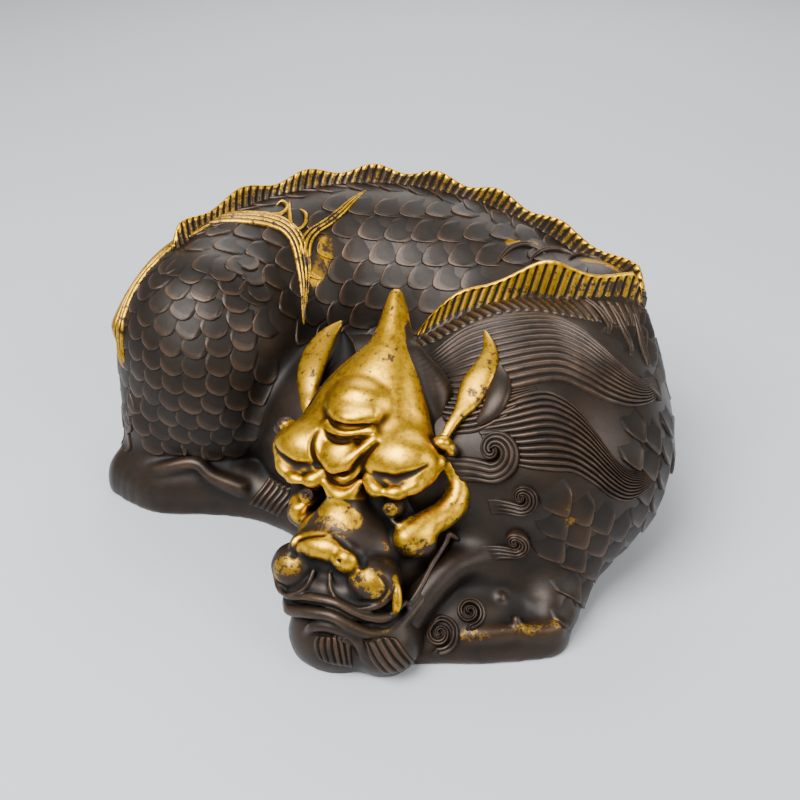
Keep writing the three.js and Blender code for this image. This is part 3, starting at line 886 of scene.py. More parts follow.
@dataclass
class Ribbon:
    """A band between two edge lines, laid on a form, with its edges sunk into the skin."""

    edges: tuple[Line, Line]
    carving: Carving = Carving.COMBED
    strands: int = 4
    height: float = 1.6
    relief: float = 0.8
    slant: float = 0.0
    gilt: float = 0.0
    rows: int = 70
    fade: tuple[float, float] = (0.1, 0.22)
    per_strand: int = 7

    def lines(self, t: np.ndarray) -> tuple[np.ndarray, np.ndarray]:
        """Its two edges at places t."""
        return smooth_line(np.array(self.edges[0]), t), smooth_line(np.array(self.edges[1]), t)

    def sheet(self, form: Form) -> Sheet:
        """Lays the band on the form.

        A point of the grid is on the straight line between the edges, moved to the skin and lifted by a low
        dome across the band plus the carving. The gilding thins towards the bottom of the carving, and the
        sunk edges and the grooves between strands are painted dark as painted shade.

        Args:
            form: What the band lies on.

        Returns:
            The band.
        """
        t = np.linspace(0, 1, self.rows)
        across = np.linspace(0, 1, self.strands * self.per_strand + 1)
        a, b = self.lines(t)
        base = a[:, None] + (b - a)[:, None] * across[None, :, None]
        width = np.linalg.norm(b - a, axis=-1)
        length = np.concatenate([[0], np.cumsum(np.linalg.norm(np.diff((a + b) / 2, axis=0), axis=-1))])
        if self.carving is Carving.HATCHED:
            f = (length[:, None] / (length[-1] / self.strands) + self.slant * across[None]) % 1.0
        else:
            f = np.broadcast_to(across * self.strands % 1.0, base.shape[:2])
        ridge = strand(f)
        ends = np.minimum(bump_between(t, -0.02, self.fade[0]), bump_between(1 - t, -0.04, self.fade[1]))
        narrow = np.clip(width / (0.5 * width.max()), 0.3, 1)
        dome = np.sqrt(np.maximum(0, 1 - (2 * across - 1) ** 4))
        lift = (ends * narrow)[:, None] * (self.height * dome[None] + self.relief * (ridge - 1))
        border = (across == across[0]) | (across == across[-1])
        lift = np.where(border[None], SUNK, lift)
        lift[[0, -1]] = SUNK
        # Painted shade on the sunk edges and between strands, and rubbing on the strands' tops.
        wear_and_shade = np.where(border[None], SUNK, strand_wear_and_shade(ridge)) * ends[:, None]
        gilt = self.gilt * np.clip(0.25 + 1.1 * (1 - np.abs(2 * f - 1)), 0, 1)
        return Sheet(form.raised(base, lift, 1.5)[None], gilt[None], wear_and_shade[None])


@dataclass
class Curl:
    """Strands of hair that run in from the left and wind up into a flat spiral.

    The spiral's radius falls evenly with its angle, from size to a tenth of it, and its strands narrow too.
    """

    centre: Place
    size: float
    turns: float = 1.1
    stem: float = 1.5
    strands: int = 4
    height: float = 1.7
    rise: float = 0.3
    relief: float = 0.9
    per_strand: int = 6

    def _path(self) -> tuple[np.ndarray, np.ndarray]:
        """The middle line of the strands, on the flat.

        Returns:
            Its points to the right and up, and half the width there.
        """
        spin = np.linspace(0, 1, 90)
        angle = -math.pi / 2 + 2 * math.pi * self.turns * spin
        room = 0.9 * self.size / self.turns
        middle = self.size * (1 - 0.9 * spin) - 0.42 * room * (1 - spin * 0.6)
        half = np.clip(0.46 * room * (1 - 0.55 * spin), 0.4, None)
        spiral = np.stack([middle * np.cos(angle), middle * np.sin(angle)], -1)
        run = np.linspace(1, 0, 24, endpoint=False)
        lead = np.stack([-run * self.stem * self.size, spiral[0, 1] - self.rise * self.size * run**2], -1)
        return np.concatenate([lead, spiral]), np.concatenate([half[0] * (1 + 0.25 * run), half])

    def sheet(self, form: Form) -> Sheet:
        """Lays the curl on the form.

        Args:
            form: What it lies on.

        Returns:
            The curl.
        """
        centre = form.drape(np.array(self.centre, float))
        out = form.facing(centre, 3.0)
        right = unit(np.cross(np.array([0.0, 0.0, 1.0]), out))
        up = np.cross(out, right)
        path, half = self._path()
        way = unit(np.gradient(path, axis=0))
        normal = np.stack([way[:, 1], -way[:, 0]], -1)
        across = np.linspace(-1, 1, self.strands * self.per_strand + 1)
        flat = path[:, None] + normal[:, None] * (half[:, None] * across)[..., None]
        base = centre + flat[..., :1] * right + flat[..., 1:] * up
        ridge = strand((across + 1) / 2 * self.strands % 1.0)
        share = np.linspace(0, 1, len(path))[:, None]
        ends = bump_between(share, 0.0, 0.24)
        dome = np.sqrt(np.maximum(0, 1 - across**4))
        lift = ends * (self.height * (1 + 0.5 * share) * dome + self.relief * (ridge - 1))
        border = np.abs(across) > AT_EDGE
        lift = np.where(border[None], SUNK, lift)
        lift[0], lift[-1] = SUNK, SUNK / 2
        # Painted shade on the sunk edges and between strands, and rubbing on the strands' tops.
        wear_and_shade = np.where(border, SUNK, strand_wear_and_shade(ridge)) * ends
        return Sheet(form.raised(base, lift, 2.0)[None], np.zeros((1, *lift.shape)), wear_and_shade[None])


@dataclass
class Scales:
    """Plates laid like roof tiles: each a shallow shield whose free edge stands up and is rubbed bright."""

    length: float = 13.5
    width: float = 10.5
    lift: float = 0.9
    rim: float = 0.14
    pointed: float = 0.0
    sink: float = 0.5
    rows: tuple[float, ...] = (0, 0.22, 0.42, 0.6, 0.76, 0.88, 0.96, 1.0, 1.0)
    columns: int = 11

    def sheet(
        self, form: Form, roots: np.ndarray, along: np.ndarray, size: np.ndarray | float = 1.0
    ) -> Sheet:
        """Lays one plate at each root.

        Across a plate t runs from -1 to 1 and along it s from 0 to 1. The free edge lies at 1 - c |t|^p of
        the length, with a low power p where the plates are pointed. The height grows with s from below the
        skin to lift, with a rim near the edge, and the last row and both sides drop back into the skin.

        Args:
            form: What the plates lie on.
            roots: Where they begin, one a row.
            along: The way that each points.
            size: Their size as a share of the full one.

        Returns:
            The plates.
        """
        facing = form.facing(roots, 2.5)
        along = unit(along - (along * facing).sum(-1, keepdims=True) * facing)
        side = np.cross(facing, along)
        s, t = np.array(self.rows)[:, None], np.linspace(-1, 1, self.columns)[None]
        power = 2.4 - 1.2 * self.pointed
        edge = 1 - (0.5 + 0.12 * self.pointed) * np.abs(t) ** power
        scale = np.broadcast_to(size, (len(roots),))[:, None, None, None]
        down = (s * edge)[None, ..., None]
        beside = (t * np.ones_like(s))[None, ..., None]
        base = roots[:, None, None] + along[:, None, None] * (scale * self.length * down)
        base = base + side[:, None, None] * (scale * self.width / 2 * beside)
        rim = self.rim * np.exp(-(((s - 0.94) / 0.07) ** 2))
        swell = 0.15 * (1 - t**2) * np.sin(math.pi * s)
        height = -self.sink + (self.lift + self.sink) * s**0.9 + rim + swell
        height = np.where(np.abs(t) > AT_EDGE, -self.sink, height)
        height[-1] = -self.sink
        points = form.raised(base, height * np.sqrt(scale[..., 0]), 2.0, 4)
        # Painted shade dark at each plate's root, under the plate before it, and in the crease at its edge;
        # its free edge rubbed.
        wear_and_shade = (np.clip((s - 0.78) / 0.16, 0, 1) * 0.9 - 0.2 - 0.35 * (1 - s) ** 2) * np.ones_like(t)
        wear_and_shade = np.where(np.abs(t) > AT_EDGE, SUNK, wear_and_shade)
        wear_and_shade[-1] = 1.5 * SUNK
        return Sheet(points, worn_gold(points), np.broadcast_to(wear_and_shade, points.shape[:-1]))


# The figure's parts


WORN_GOLD = (
    (((20, -87, 9.5), (28, -86.5, 10.5), (34, -86, 10.5)), 2.6, 0.36),
    (((36, -85.5, 10.5), (48, -84.0, 10.5)), 2.8, 0.43),
    (((-30, 40, 84.5), (-27, 41, 80.5), (-29, 36, 75), (-32, 31, 71)), 3.6, 0.62),
    (((40, 34, 84.5), (49, 34.5, 84.5)), 2.4, 0.5),
    (((68, 24, 83), (76, 20, 81), (83, 14, 77)), 4.5, 0.55),
    (((50, -66, 42), (55, -66, 34), (60, -62, 27)), 4.5, 0.42),
)


def worn_gold(points: np.ndarray) -> np.ndarray:
    """How gilt the hide still is: patches on the paw, by the hip's ribbon, on the withers and the chest."""
    return np.max([strength * stroke(points, keys, reach) for keys, reach, strength in WORN_GOLD], 0)


class Trunk:
    """The great masses: curled body, haunch, hind leg, neck, withers and folded foreleg.

    Each mass stands with the width of the fillet that joins it to those before it.
    """

    body = CurledBody()
    haunch = Ball((-68, 25, 37), (33, 38, 48))
    neck = Ball((47, -17, 34), (46, 52, 43))
    voxel: float = 0.9
    masses = (
        (body, 0),
        (haunch, 5),
        (Ball((-14, 2, 25), (39, 34, 34)), 6),
        (Limb(((-8, -24, 44, 18, 16), (12, -8, 47, 20, 18), (36, -4, 52, 22, 22))), 8),
        (neck, 9),
        (Ball((70, 16, 48), (23, 24, 34)), 12),
        (Ball((27, -56, 13), (22, 18, 20)), 6),
    )
    hind_foot = (
        (-101, 0, 3, 9, 13), (-87, -7, 3, 11, 14), (-70, -8, 4, 11, 15),
        (-52, -11, 4, 11, 12), (-36, -18, 4, 12, 10), (-20, -32, 4, 12, 9),
    )
    hock = (
        (-94, -9, 12, 2.4, 2.4), (-85, -12, 16.5, 2.2, 2.2), (-77, -12.5, 19, 2.4, 2.4),
        (-72, -13.5, 19, 2.4, 2.4), (-67, -16, 15.5, 2.6, 2.6), (-57, -18, 12, 3, 3),
    )
    paw = ((44, -79, 2, 9, 10), (28, -81, 2, 9, 7), (12, -81, 2, 9, 6), (-2, -82, 2, 9, 5))
    wrist = (
        (2, -84, 13, 5, 5), (8, -78, 18, 5, 5), (15, -72, 22, 5, 5),
        (22, -69, 23.5, 4, 4), (27, -66, 23, 3, 3),
    )
    tail = ((-72, 44, 82, 4, 4), (-84, 33, 76, 5, 4.5), (-92, 24, 68, 5.5, 4.5), (-98, 16, 59, 6, 4.5))
    legs = (
        (Limb(hind_foot), 3),
        (Ball((-88, 10, 20), (15, 17, 22)), 8),
        (Limb(hock), 2),
        (Limb(((54, -46, 28, 14, 14), (51, -60, 14, 11, 11), (48, -72, 7, 9, 10))), 12),
        (Limb(paw), 3),
        (Ball((18, -70, 4), (26, 18, 13)), 4),
        (Limb(wrist), 4),
        (Ball((31, -75.5, 14), (2.1, 2.1, 2.1)), 1.5),
        (Limb(((17, -85, 6.5, 2.4), (24, -85.6, 8.4, 2.6), (33.5, -85, 9.0, 2.4))), 2),
        (Limb(((36, -84.5, 10.2, 1.8), (35.4, -83, 12.4, 1.5))), 1),
        (Limb(((38, -84.6, 8.4, 2.5), (43, -84.4, 8.6, 2.7), (47.5, -82.5, 8.2, 3.0))), 2),
        (Limb(tail), 3),
    )
    behind_shoulder = (
        (96.5, 19, 80, 11), (96.0, 17, 74, 13), (96.8, 16, 67, 13.5), (98.2, 13, 60.5, 14),
        (101, 7.5, 54, 13), (104, -2, 47, 12), (107.2, -10, 39.5, 11.5),
    )

    def __init__(self) -> None:
        """Fuses the masses and the legs, and cuts the hollow that runs down behind the shoulder."""
        self.form = Form((-117, -106, -2.7), (111, 120, 103), self.voxel)
        for solid, fillet in (*self.masses, *self.legs):
            self.form.add(solid, fillet)
        self.form.cut(Limb(self.behind_shoulder), 4)
        self.form.stand(np.array([0.0, 0.0, 1.0]))

    def build(self) -> None:
        """Makes the skin and parts it into pieces: the haunch's side, the back and the neck's side."""
        haunch_end, back_start, foot = -34, 14, 0.5
        points, quads = self.form.skin()
        facing = self.form.facing(points, 1.2)
        # Painted shade dark in creases and hollows, and rubbing on ridges, from how rounded the skin is.
        wear_and_shade = np.clip(3.0 * self.form.rounding(points, 3.0) - 0.15, -0.7, 0.5)
        points = points + facing * (0.18 * lumps(points, 7.0))[:, None] * (points[:, 2] > foot)[:, None]
        middle = points[quads].mean(1)
        side = np.where(middle[:, 0] < haunch_end, 0, np.where(middle[:, 1] > back_start, 1, 2))
        for part, name in enumerate(("haunch_and_foot", "back_and_flank", "neck_and_foreleg")):
            used, faces = np.unique(quads[side == part], return_inverse=True)
            faces = faces.reshape(-1, 4)
            cast_piece(name, points[used], faces, worn_gold(points[used]), wear_and_shade[used], facing[used])


class Head:
    """The head, in its own frame: x to the viewer's right, y into the face and z up it.

    It lies on its chin.
    Stations are given as the distance to the side, out of the face and up it, and then a radius or two.
    """

    place = Vector((-13.6, -55.1, 42.8))
    turn = (-31.5, -7.5, -24.8)
    out_of_face = (0.13, -1.0, 0.17)
    voxel: float = 0.46
    pieces_part_at: float = -1.0
    gilt_strokes = (
        (((-5.0, 12.0, -7.0), (0.0, 12.6, -6.6), (5.0, 11.5, -9.6)), 3.0, 0.8),
        (((-6.0, 13.0, -12.0), (2.0, 14.0, -12.4)), 4.5, 0.42),
        (
            ((-9.4, 17, -17), (-2, 18, -16.4), (4.3, 19, -18.4), (8, 18.6, -20.8), (7.4, 17, -23.5)),
            3.6,
            0.95,
        ),
        (((-4.0, 18.0, -19.5), (4.0, 19.0, -21.0)), 3.0, 0.6),
        (((11.0, 17.6, -25.0), (15.0, 16.0, -25.6), (17.0, 14.0, -29.0)), 3.8, 0.52),
        (((-11.0, 17.6, -25.0), (-15.0, 16.0, -25.6), (-17.0, 14.0, -29.0)), 3.8, 0.46),
        (((19.6, 11.4, -25.0), (21.4, 11.6, -29.0), (21.4, 11.4, -34.0)), 1.8, 0.62),
        (((31, -5, 6), (32, -4, 0), (30, -1, -5), (26, 2, -9), (21.5, 5.5, -12.5)), 5.2, 0.78),
        (((18.5, 7.5, -15.5), (22.0, 5.0, -17.0)), 5.0, 0.5),
        (((-13.0, 7.0, -12.5), (-16.5, 5.5, -9.0)), 4.6, 0.72),
        (((9.6, 17.4, -38.6), (14.6, 15.0, -40.4), (19.4, 11.4, -40.0)), 1.4, 0.32),
        (((13.0, 5.4, -5.6), (15.0, 5.4, -5.6)), 2.4, 0.44),
    )
    # The valleys below the brows, along which less gold is kept.
    valley_less_gilt = (
        (10.5, 9.5, 4.4), (12.9, 8.9, 3.5), (17.0, 8.6, 3.1),
        (20.6, 8.5, 4.8), (23.4, 7.6, 7.5),
    )

    def __init__(self) -> None:
        """Carves the head."""
        self.matrix = np.array(Euler([math.radians(a) for a in self.turn], "YXZ").to_matrix())
        self.form = Form((-38, -26, -62), (46, 40, 66), self.voxel)
        self._skull()
        self._brow()
        self._snout()
        self._lips()
        self._cheeks()
        self.form.stand(self.matrix[2], self.place.z)

    def to_carver(self, points: np.ndarray) -> np.ndarray:
        """Points from the head's frame to the carver's."""
        return points @ self.matrix.T + np.array(self.place)

    @staticmethod
    def face(stations: Stations) -> Stations:
        """Stations given as to the side, out of the face and up it, in the head's frame."""
        return tuple((x, -out, *rest) for x, out, *rest in stations)

    @staticmethod
    def pair(stations: Stations, side: int) -> Stations:
        """Stations for one side of the face: 1 is the near side, -1 the far one."""
        return tuple((side * x, *rest) for x, *rest in stations)

    def bump(self, centre: Place, radii: Place, blend: float) -> None:
        """Adds an ellipsoid."""
        self.form.add(Ball(self.face((centre,))[0], radii), blend)

    def dent(self, centre: Place, radii: Place, blend: float) -> None:
        """Cuts an ellipsoid out."""
        self.form.cut(Ball(self.face((centre,))[0], radii), blend)

    def roll(self, stations: Stations, blend: float) -> None:
        """Adds a round bar."""
        self.form.add(Limb(self.face(stations), self.out_of_face), blend)

    def groove(self, stations: Stations, blend: float) -> None:
        """Cuts a round groove whose middle line lies on the skin.

        Args:
            stations: The groove's line near the skin, with its radius.
            blend: How wide the rounding of its edges is.
        """
        line = smooth_line(np.array(self.face(stations)), np.linspace(0, 1, 3 * len(stations)))
        on = self.form.raised(line[:, :3], 0.1 * line[:, 3] + 0.1, 2.0)
        laid = tuple(map(tuple, np.concatenate([on, line[:, 3:4]], -1)))
        self.form.cut(Limb(laid, self.out_of_face, 2), blend)

    def _skull(self) -> None:
        """Adds the skull, and the horn that widens into the brow mask."""
        self.form.add(Ball((0, 20, 8), (26, 23, 28)))
        self.form.add(Ball((2, 16, -22), (24, 20, 26)), 8)
        horn = (
            (0.5, 5, 6, 23, 9),
            (0.5, 4, 15, 23, 11.5),
            (1.5, 4, 23, 19.5, 11.5),
            (3.0, 4.8, 31, 14.5, 9.8),
            (4.2, 6.6, 38, 10.4, 8.0),
            (4.2, 8.6, 44, 7.4, 6.4),
            (3.6, 10.2, 50, 5.2, 5.0),
            (2.8, 11.6, 56, 3.6, 3.6),
            (2.2, 12.4, 60, 2.4, 2.4),
        )
        self.form.add(Limb(horn, (0, -1, 0), 12), 3)

    def _brow(self) -> None:
        """Carves the forehead's swelling and frown, the tongue-shaped root of the nose and the brows."""
        self.bump((0.0, 5.4, 25.0), (9.4, 5.4, 6.6), 3)
        upper_fold = (
            (-6.4, 7.6, 22.0, 1.6), (-2.6, 9.4, 20.4, 2.4), (1.6, 9.6, 20.4, 2.4), (6.6, 8.4, 21.6, 1.6)
        )
        lower_fold = (
            (-8.0, 8.0, 17.8, 0.9), (-4, 9.4, 16.0, 1.8),
            (0.6, 9.7, 15.8, 1.8), (6.8, 8.8, 17.4, 1.0),
        )
        self.roll(upper_fold, 2.5)
        self.roll(lower_fold, 1.5)
        for side in (1, -1):
            self.bump((side * 14.8, 3.2, 8.8), (13.0, 8.8, 9.6), 5)
        self.bump((-2.4, 6.8, 8.0), (8.4, 5.6, 7.4), 0.8)
        tongue = (
            (-3.4, 10.6, 4.6, 0.8), (1.0, 11.2, 6.8, 1.4),
            (5.0, 10.4, 11.0, 1.4), (8.0, 9.2, 14.2, 0.7),
        )
        self.roll(tongue, 3.0)
        upper_frown = (
            (-7.8, 8.4, 19.5, 0.3), (-4.7, 10.6, 18.2, 1.1), (-0.8, 11.1, 17.7, 1.2),
            (3.8, 10.6, 18.4, 0.9), (6.8, 9.8, 19.1, 0.3),
        )
        lower_frown = (
            (-8.5, 8.9, 16.1, 0.3), (-5.8, 9.9, 14.1, 1.2), (-2.0, 10.6, 13.5, 1.3),
            (3.4, 10.5, 14.5, 1.0), (7.8, 9.6, 16.3, 0.3),
        )
        left_of_tongue = (
            (-10.8, 9.4, 15.4, 0.3), (-11.3, 9.8, 11.0, 1.0),
            (-10.4, 10.0, 7.4, 1.2), (-8.6, 10.4, 4.4, 1.3),
            (-5.8, 10.8, 2.2, 1.2), (-2.4, 11.4, 1.5, 1.1), (0.6, 11.6, 2.6, 0.9),
        )
        right_of_tongue = (
            (-0.6, 11.6, 1.6, 0.9), (3.0, 11.2, 3.2, 1.2), (4.8, 11.2, 6.4, 1.3), (6.8, 11.2, 10.2, 1.0),
            (9.8, 10.6, 14.0, 0.4),
        )
        self.groove(upper_frown, 0.4)
        self.groove(lower_frown, 0.4)
        self.groove(left_of_tongue, 0.8)
        self.groove(right_of_tongue, 1.2)
        fold_below = (
            (-8.2, 8.4, 2.4, 1.0), (-5.0, 9.8, -1.0, 1.6),
            (-0.6, 10.8, -3.0, 2.0), (3.0, 10.0, -1.6, 1.5),
            (4.8, 8.6, 1.6, 0.9),
        )
        self.roll(fold_below, 0.8)
        frill = (
            (7.6, 8.4, 2.8, 2.0), (10.4, 9.4, 0.2, 2.7), (13.2, 9.6, -0.4, 1.7), (16.6, 9.2, -0.2, 2.4),
            (19.4, 8.4, 1.0, 1.8), (22.4, 7.0, 3.2, 2.5), (24.8, 4.6, 6.6, 1.7), (26.8, 1.6, 10.0, 2.4),
        )
        valley = (
            (9.4, 11.6, 5.0, 0.5), (12.9, 12.2, 3.9, 1.4), (17.0, 12.0, 3.7, 1.6), (20.8, 10.8, 5.6, 1.4),
            (24.6, 7.4, 9.0, 0.5),
        )
        for side in (1, -1):
            self.roll(self.pair(frill, side), 1.0)
            self.groove(self.pair(valley, side), 1.0)
            self.bump((side * 26.6, -0.5, 15.8), (3.0, 3.0, 2.4), 1.0)
            self.bump((side * 29.2, -2.0, 14.0), (2.2, 2.4, 2.0), 0.8)
        self.roll(((12, -8, 42, 3), (15.6, -10, 36, 4.8), (18.4, -12, 29.5, 6.4), (19.4, -13, 22, 6.4)), 3)

    def _eye(self, x: float, out: float, up: float) -> None:
        """Carves a ball in a deep socket, with a ring and a pupil on it and a lid above.

        Args:
            x: Where the eye is, to the side.
            out: The same, out of the face.
            up: The same, up it.
        """
        self.dent((x, out + 2.5, up - 0.2), (6.4, 5.2, 4.2), 2.0)
        self.bump((x, out - 3.4, up), (3.6, 4.1, 3.5), 0.4)
        turn = np.radians(np.arange(0, 361, 40))
        ring = tuple((x + 1.9 * math.cos(t), out + 0.1, up + 1.8 * math.sin(t), 0.6) for t in turn)
        self.roll(ring, 0.3)
        self.bump((x, out + 0.5, up), (0.85, 0.9, 0.85), 0.2)
        away = 1 if x > 0 else -1
        lid = (
            (-1.5, -1.6, -1.6, 0.4), (1.2, -0.4, -3.8, 0.7),
            (3.6, -0.6, -4.2, 0.7), (5.6, -2.8, -2.2, 0.4),
        )
        self.roll(tuple((x + away * dx, out + dy, up + dz, r) for dx, dy, dz, r in lid), 1.2)

    def _snout(self) -> None:
        """Carves the eyes, the bridge, the nose pad, the nostrils with their scrolls, and the tusks."""
        self.bump((0, 3.5, -21), (17.0, 11.0, 14.5), 4)
        self._eye(14.0, 5.0, -5.6)
        self._eye(-14.0, 5.0, -5.1)
        bridge = (
            (0, 4.6, -1, 4.6, 4.6), (-0.2, 6.0, -6.5, 6.4, 6.0), (-0.6, 6.6, -12.0, 9.0, 7.0),
            (-1.0, 6.6, -17.5, 11.0, 8.0),
        )
        self.roll(bridge, 3)
        for centre, radii, blend in (
            ((12.8, 9.2, -26.6), (8.2, 8.2, 7.6), 1.5),
            ((-12.8, 9.2, -26.6), (8.2, 8.2, 7.6), 1.5),
            ((0, 5, -32), (17.5, 11.5, 7), 2),
            ((-11.6, 7.4, -37.4), (5.6, 5.6, 4.4), 2),
            ((-2.6, 12.4, -18.6), (9.0, 6.4, 5.0), 2.0),
            ((5.4, 13.4, -20.8), (4.8, 5.6, 4.4), 1.4),
            ((-10.6, 11.4, -19.6), (4.0, 5.4, 4.0), 1.4),
        ):
            self.bump(centre, radii, blend)
        self.dent((-3.4, 17.6, -23.8), (4.2, 3.4, 1.9), 1.2)
        self.dent((4.6, 20.4, -21.0), (1.7, 2.4, 1.1), 0.6)
        beside_pad = (
            (2.0, 17.8, -13.0, 0.4), (6.6, 17.0, -14.8, 1.1),
            (10.6, 15.2, -18.0, 1.3), (11.2, 15.4, -22.0, 0.9),
        )
        rim = (
            (0.6, 14.8, -26.0, 0.7), (2.4, 15.8, -30.2, 1.1),
            (6.0, 15.8, -32.8, 1.3), (10.8, 14.6, -34.2, 1.3),
            (15.4, 12.6, -33.6, 1.2), (18.8, 11.0, -30.4, 1.0), (19.8, 10.6, -26.4, 0.7),
        )
        inner = (
            (2.4, 15.8, -27.2, 0.5), (4.2, 17.0, -30.2, 0.9),
            (8.0, 16.4, -32.3, 1.0), (12.4, 15.0, -32.8, 1.0),
            (16.6, 13.4, -30.6, 0.9), (17.8, 13.4, -26.8, 0.8), (16.0, 15.4, -23.6, 0.4),
        )
        tusk = (
            (19.6, 10.6, -24.2, 0.5), (21.0, 11.0, -28.2, 1.3),
            (21.4, 10.8, -32.4, 1.5), (20.6, 9.8, -35.0, 0.9),
        )
        for side, aside, tuck in ((1, 0.0, 0.0), (-1, 4.2, 2.4)):
            scroll = tuple((x + aside * (1 - x / 20), *rest) for x, *rest in rim)
            within = tuple((x + aside * (1 - x / 20), *rest) for x, *rest in inner)
            self.groove(self.pair(beside_pad, side), 1.2)
            self.roll(self.pair(scroll, side), 0.6)
            self.groove(self.pair(within, side), 0.5)
            self.roll(self.pair(tuple((x - tuck, out - tuck, *rest) for x, out, *rest in tusk), side), 0.3)

    def _lips(self) -> None:
        """Carves the chin, the lips with the mouth between, their turned-up corner and a lock below."""
        self.bump((-0.5, 3, -46.5), (15.2, 12.6, 12.5), 3)
        self.bump((14.5, 2.2, -45.0), (12.5, 11.6, 11.8), 3)
        upper = (
            (-16.6, 8, -34.4, 1.2), (-12.6, 13.2, -35.4, 1.6),
            (-4, 16.6, -34.0, 1.7), (4.0, 17.0, -34.0, 1.7),
            (9.3, 15.6, -36.0, 1.7), (14.2, 13.4, -37.2, 1.7),
            (19.0, 10.2, -36.6, 1.5), (21.8, 5.4, -32.6, 1.0),
        )
        mouth = (
            (-16.4, 11.4, -36.6, 0.4), (-12.2, 14.6, -37.4, 1.0),
            (-4, 18.2, -36.0, 1.0), (3.8, 18.6, -35.8, 1.1),
            (9.6, 17.2, -38.0, 1.1), (14.2, 15.0, -39.5, 1.0),
            (19.2, 11.8, -39.0, 0.9), (22.6, 6.0, -34.6, 0.7),
        )
        lower = (
            (-16, 7.6, -38.4, 1.3), (-12, 13.4, -39.4, 1.7),
            (-4, 16.6, -38.2, 1.8), (3.8, 17.2, -37.8, 1.8),
            (9.6, 15.6, -40.2, 1.8), (14.4, 13.4, -41.8, 1.8),
            (19.4, 10.0, -41.4, 1.7), (23.0, 4.8, -36.6, 1.9),
            (26.4, -1.2, -29.0, 1.9), (28.4, -6.6, -22.0, 1.6),
        )
        corner = (
            (22.6, 4.4, -33.6, 0.9), (25.0, 1.0, -27.6, 0.9),
            (26.6, -3.2, -21.0, 0.9), (28.8, -6.4, -15.0, 0.9),
            (29.4, -7.2, -12.4, 1.0), (31.4, -9.4, -13.6, 0.8),
        )
        lock = (
            (-5.2, 13.6, -45.2, 1.2), (-2.6, 15.4, -42.4, 1.8),
            (2.8, 15.8, -41.2, 2.0), (8.2, 14.8, -42.2, 2.0),
            (11.6, 13.4, -44.8, 2.1), (13.4, 11.2, -48.8, 2.0), (17.4, 8.0, -52.0, 1.4),
        )
        self.roll(upper, 0.6)
        self.groove(mouth, 0.5)
        for bar in (lower, corner, lock):
            self.roll(bar, 0.8)

    def _cheeks(self) -> None:
        """Adds the near cheekbone, a thick crescent, the flat far one, and the folds of the jowl."""
        crescent = (
            (26.6, -6.5, 9, 2.4), (30.2, -8.5, 4, 3.6), (30.4, -7.4, -2.0, 4.4),
            (27.6, -4.6, -6.4, 4.4), (23.4, -0.6, -9.6, 4.2), (19.4, 3.2, -13.6, 4.0),
        )
        self.roll(crescent, 2)
        self.bump((21.6, 0.6, -15.0), (6.4, 4.2, 4.6), 4)
        upper_fold = (
            (21.5, -2, -46.5, 3.6), (22.4, -8.4, -36, 4.2), (27, -14.4, -28.6, 4.6),
            (34, -20.4, -25, 4.4), (41, -26.4, -21, 3.8),
        )
        self.roll(((-23, -8, 7, 2.6), (-19.8, -3, -3, 3.4), (-17.4, 2, -11.5, 4.0)), 3)
        self.roll(upper_fold, 3)
        self.roll(((26.6, -11, -42, 3.0), (29, -18, -36, 3.4), (35, -24, -32, 3.2)), 3)

    def gilding(self, p: np.ndarray, facing: np.ndarray) -> np.ndarray:
        """How gilt the head is: all of the brow mask and horn, and patches on the snout and cheekbones.

        Args:
            p: Points in the head's frame.
            facing: The ways that they face.

        Returns:
            0 where bare to 1 where gilt.
        """
        x, out, z, outward = p[..., 0], -p[..., 1], p[..., 2], -facing[..., 1]
        lower_edge = -3.6 + 0.018 * np.maximum(np.abs(x) - 8, 0) ** 2.0
        mask = bump_between(z - lower_edge, -1.0, 1.0)
        mask *= bump_between(out, -6.5 + 0.1 * np.maximum(0, 40 - z), -2.0)
        mask *= bump_between(31.5 - np.abs(x), 0, 2)
        horn = bump_between(z, 26, 34) * bump_between(outward, -0.45, -0.05)
        mask = np.maximum(mask * bump_between(outward, -0.5, -0.1), horn)
        here = np.stack([x, out, z], -1)
        for side in (1, -1):
            mask *= 1 - 0.42 * stroke(here, self.pair(self.valley_less_gilt, side), 1.8)
        mask *= 1 - 0.3 * bump_between(z, 30, 46)
        half = np.interp(z, (15, 23, 31, 38, 44, 50), (32, 21.5, 17.6, 14.2, 10.8, 8.4))
        mask *= bump_between(half - np.maximum(x, 4.5 - x), -0.6, 0.6)
        for keys, reach, strength in self.gilt_strokes:
            mask = np.maximum(mask, strength * stroke(here, keys, reach))
        return mask

    def build(self, trunk: Trunk) -> None:
        """Makes the head's skin where it isn't inside the neck, parted into two pieces below the brows.

        Args:
            trunk: What the head grows from.
        """
        hidden_depth = -1.5
        points, quads = self.form.skin()
        quads = quads[trunk.form.sample(self.to_carver(points))[quads].max(1) > hidden_depth]
        facing = self.form.facing(points, 0.55)
        # Painted shade: broad hollows are darkened on top of the painted shade in creases and the rubbing
        # on ridges.
        deep = np.minimum(self.form.rounding(points, 3.2) + 0.06, 0)
        wear_and_shade = np.clip(3.4 * self.form.rounding(points, 1.4) + 1.8 * deep - 0.08, -1.0, 0.5)
        points = points + facing * (0.16 * lumps(points, 5.0))[:, None]
        gilt = self.gilding(points, self.form.facing(points, 4.0))
        high = points[quads, 2].mean(1) > self.pieces_part_at
        for name, part in (("brow_and_horn", quads[high]), ("muzzle_and_jaw", quads[~high])):
            used, faces = np.unique(part, return_inverse=True)
            normals = facing[used] @ self.matrix.T
            faces = faces.reshape(-1, 4)
            cast_piece(name, self.to_carver(points[used]), faces, gilt[used], wear_and_shade[used], normals)


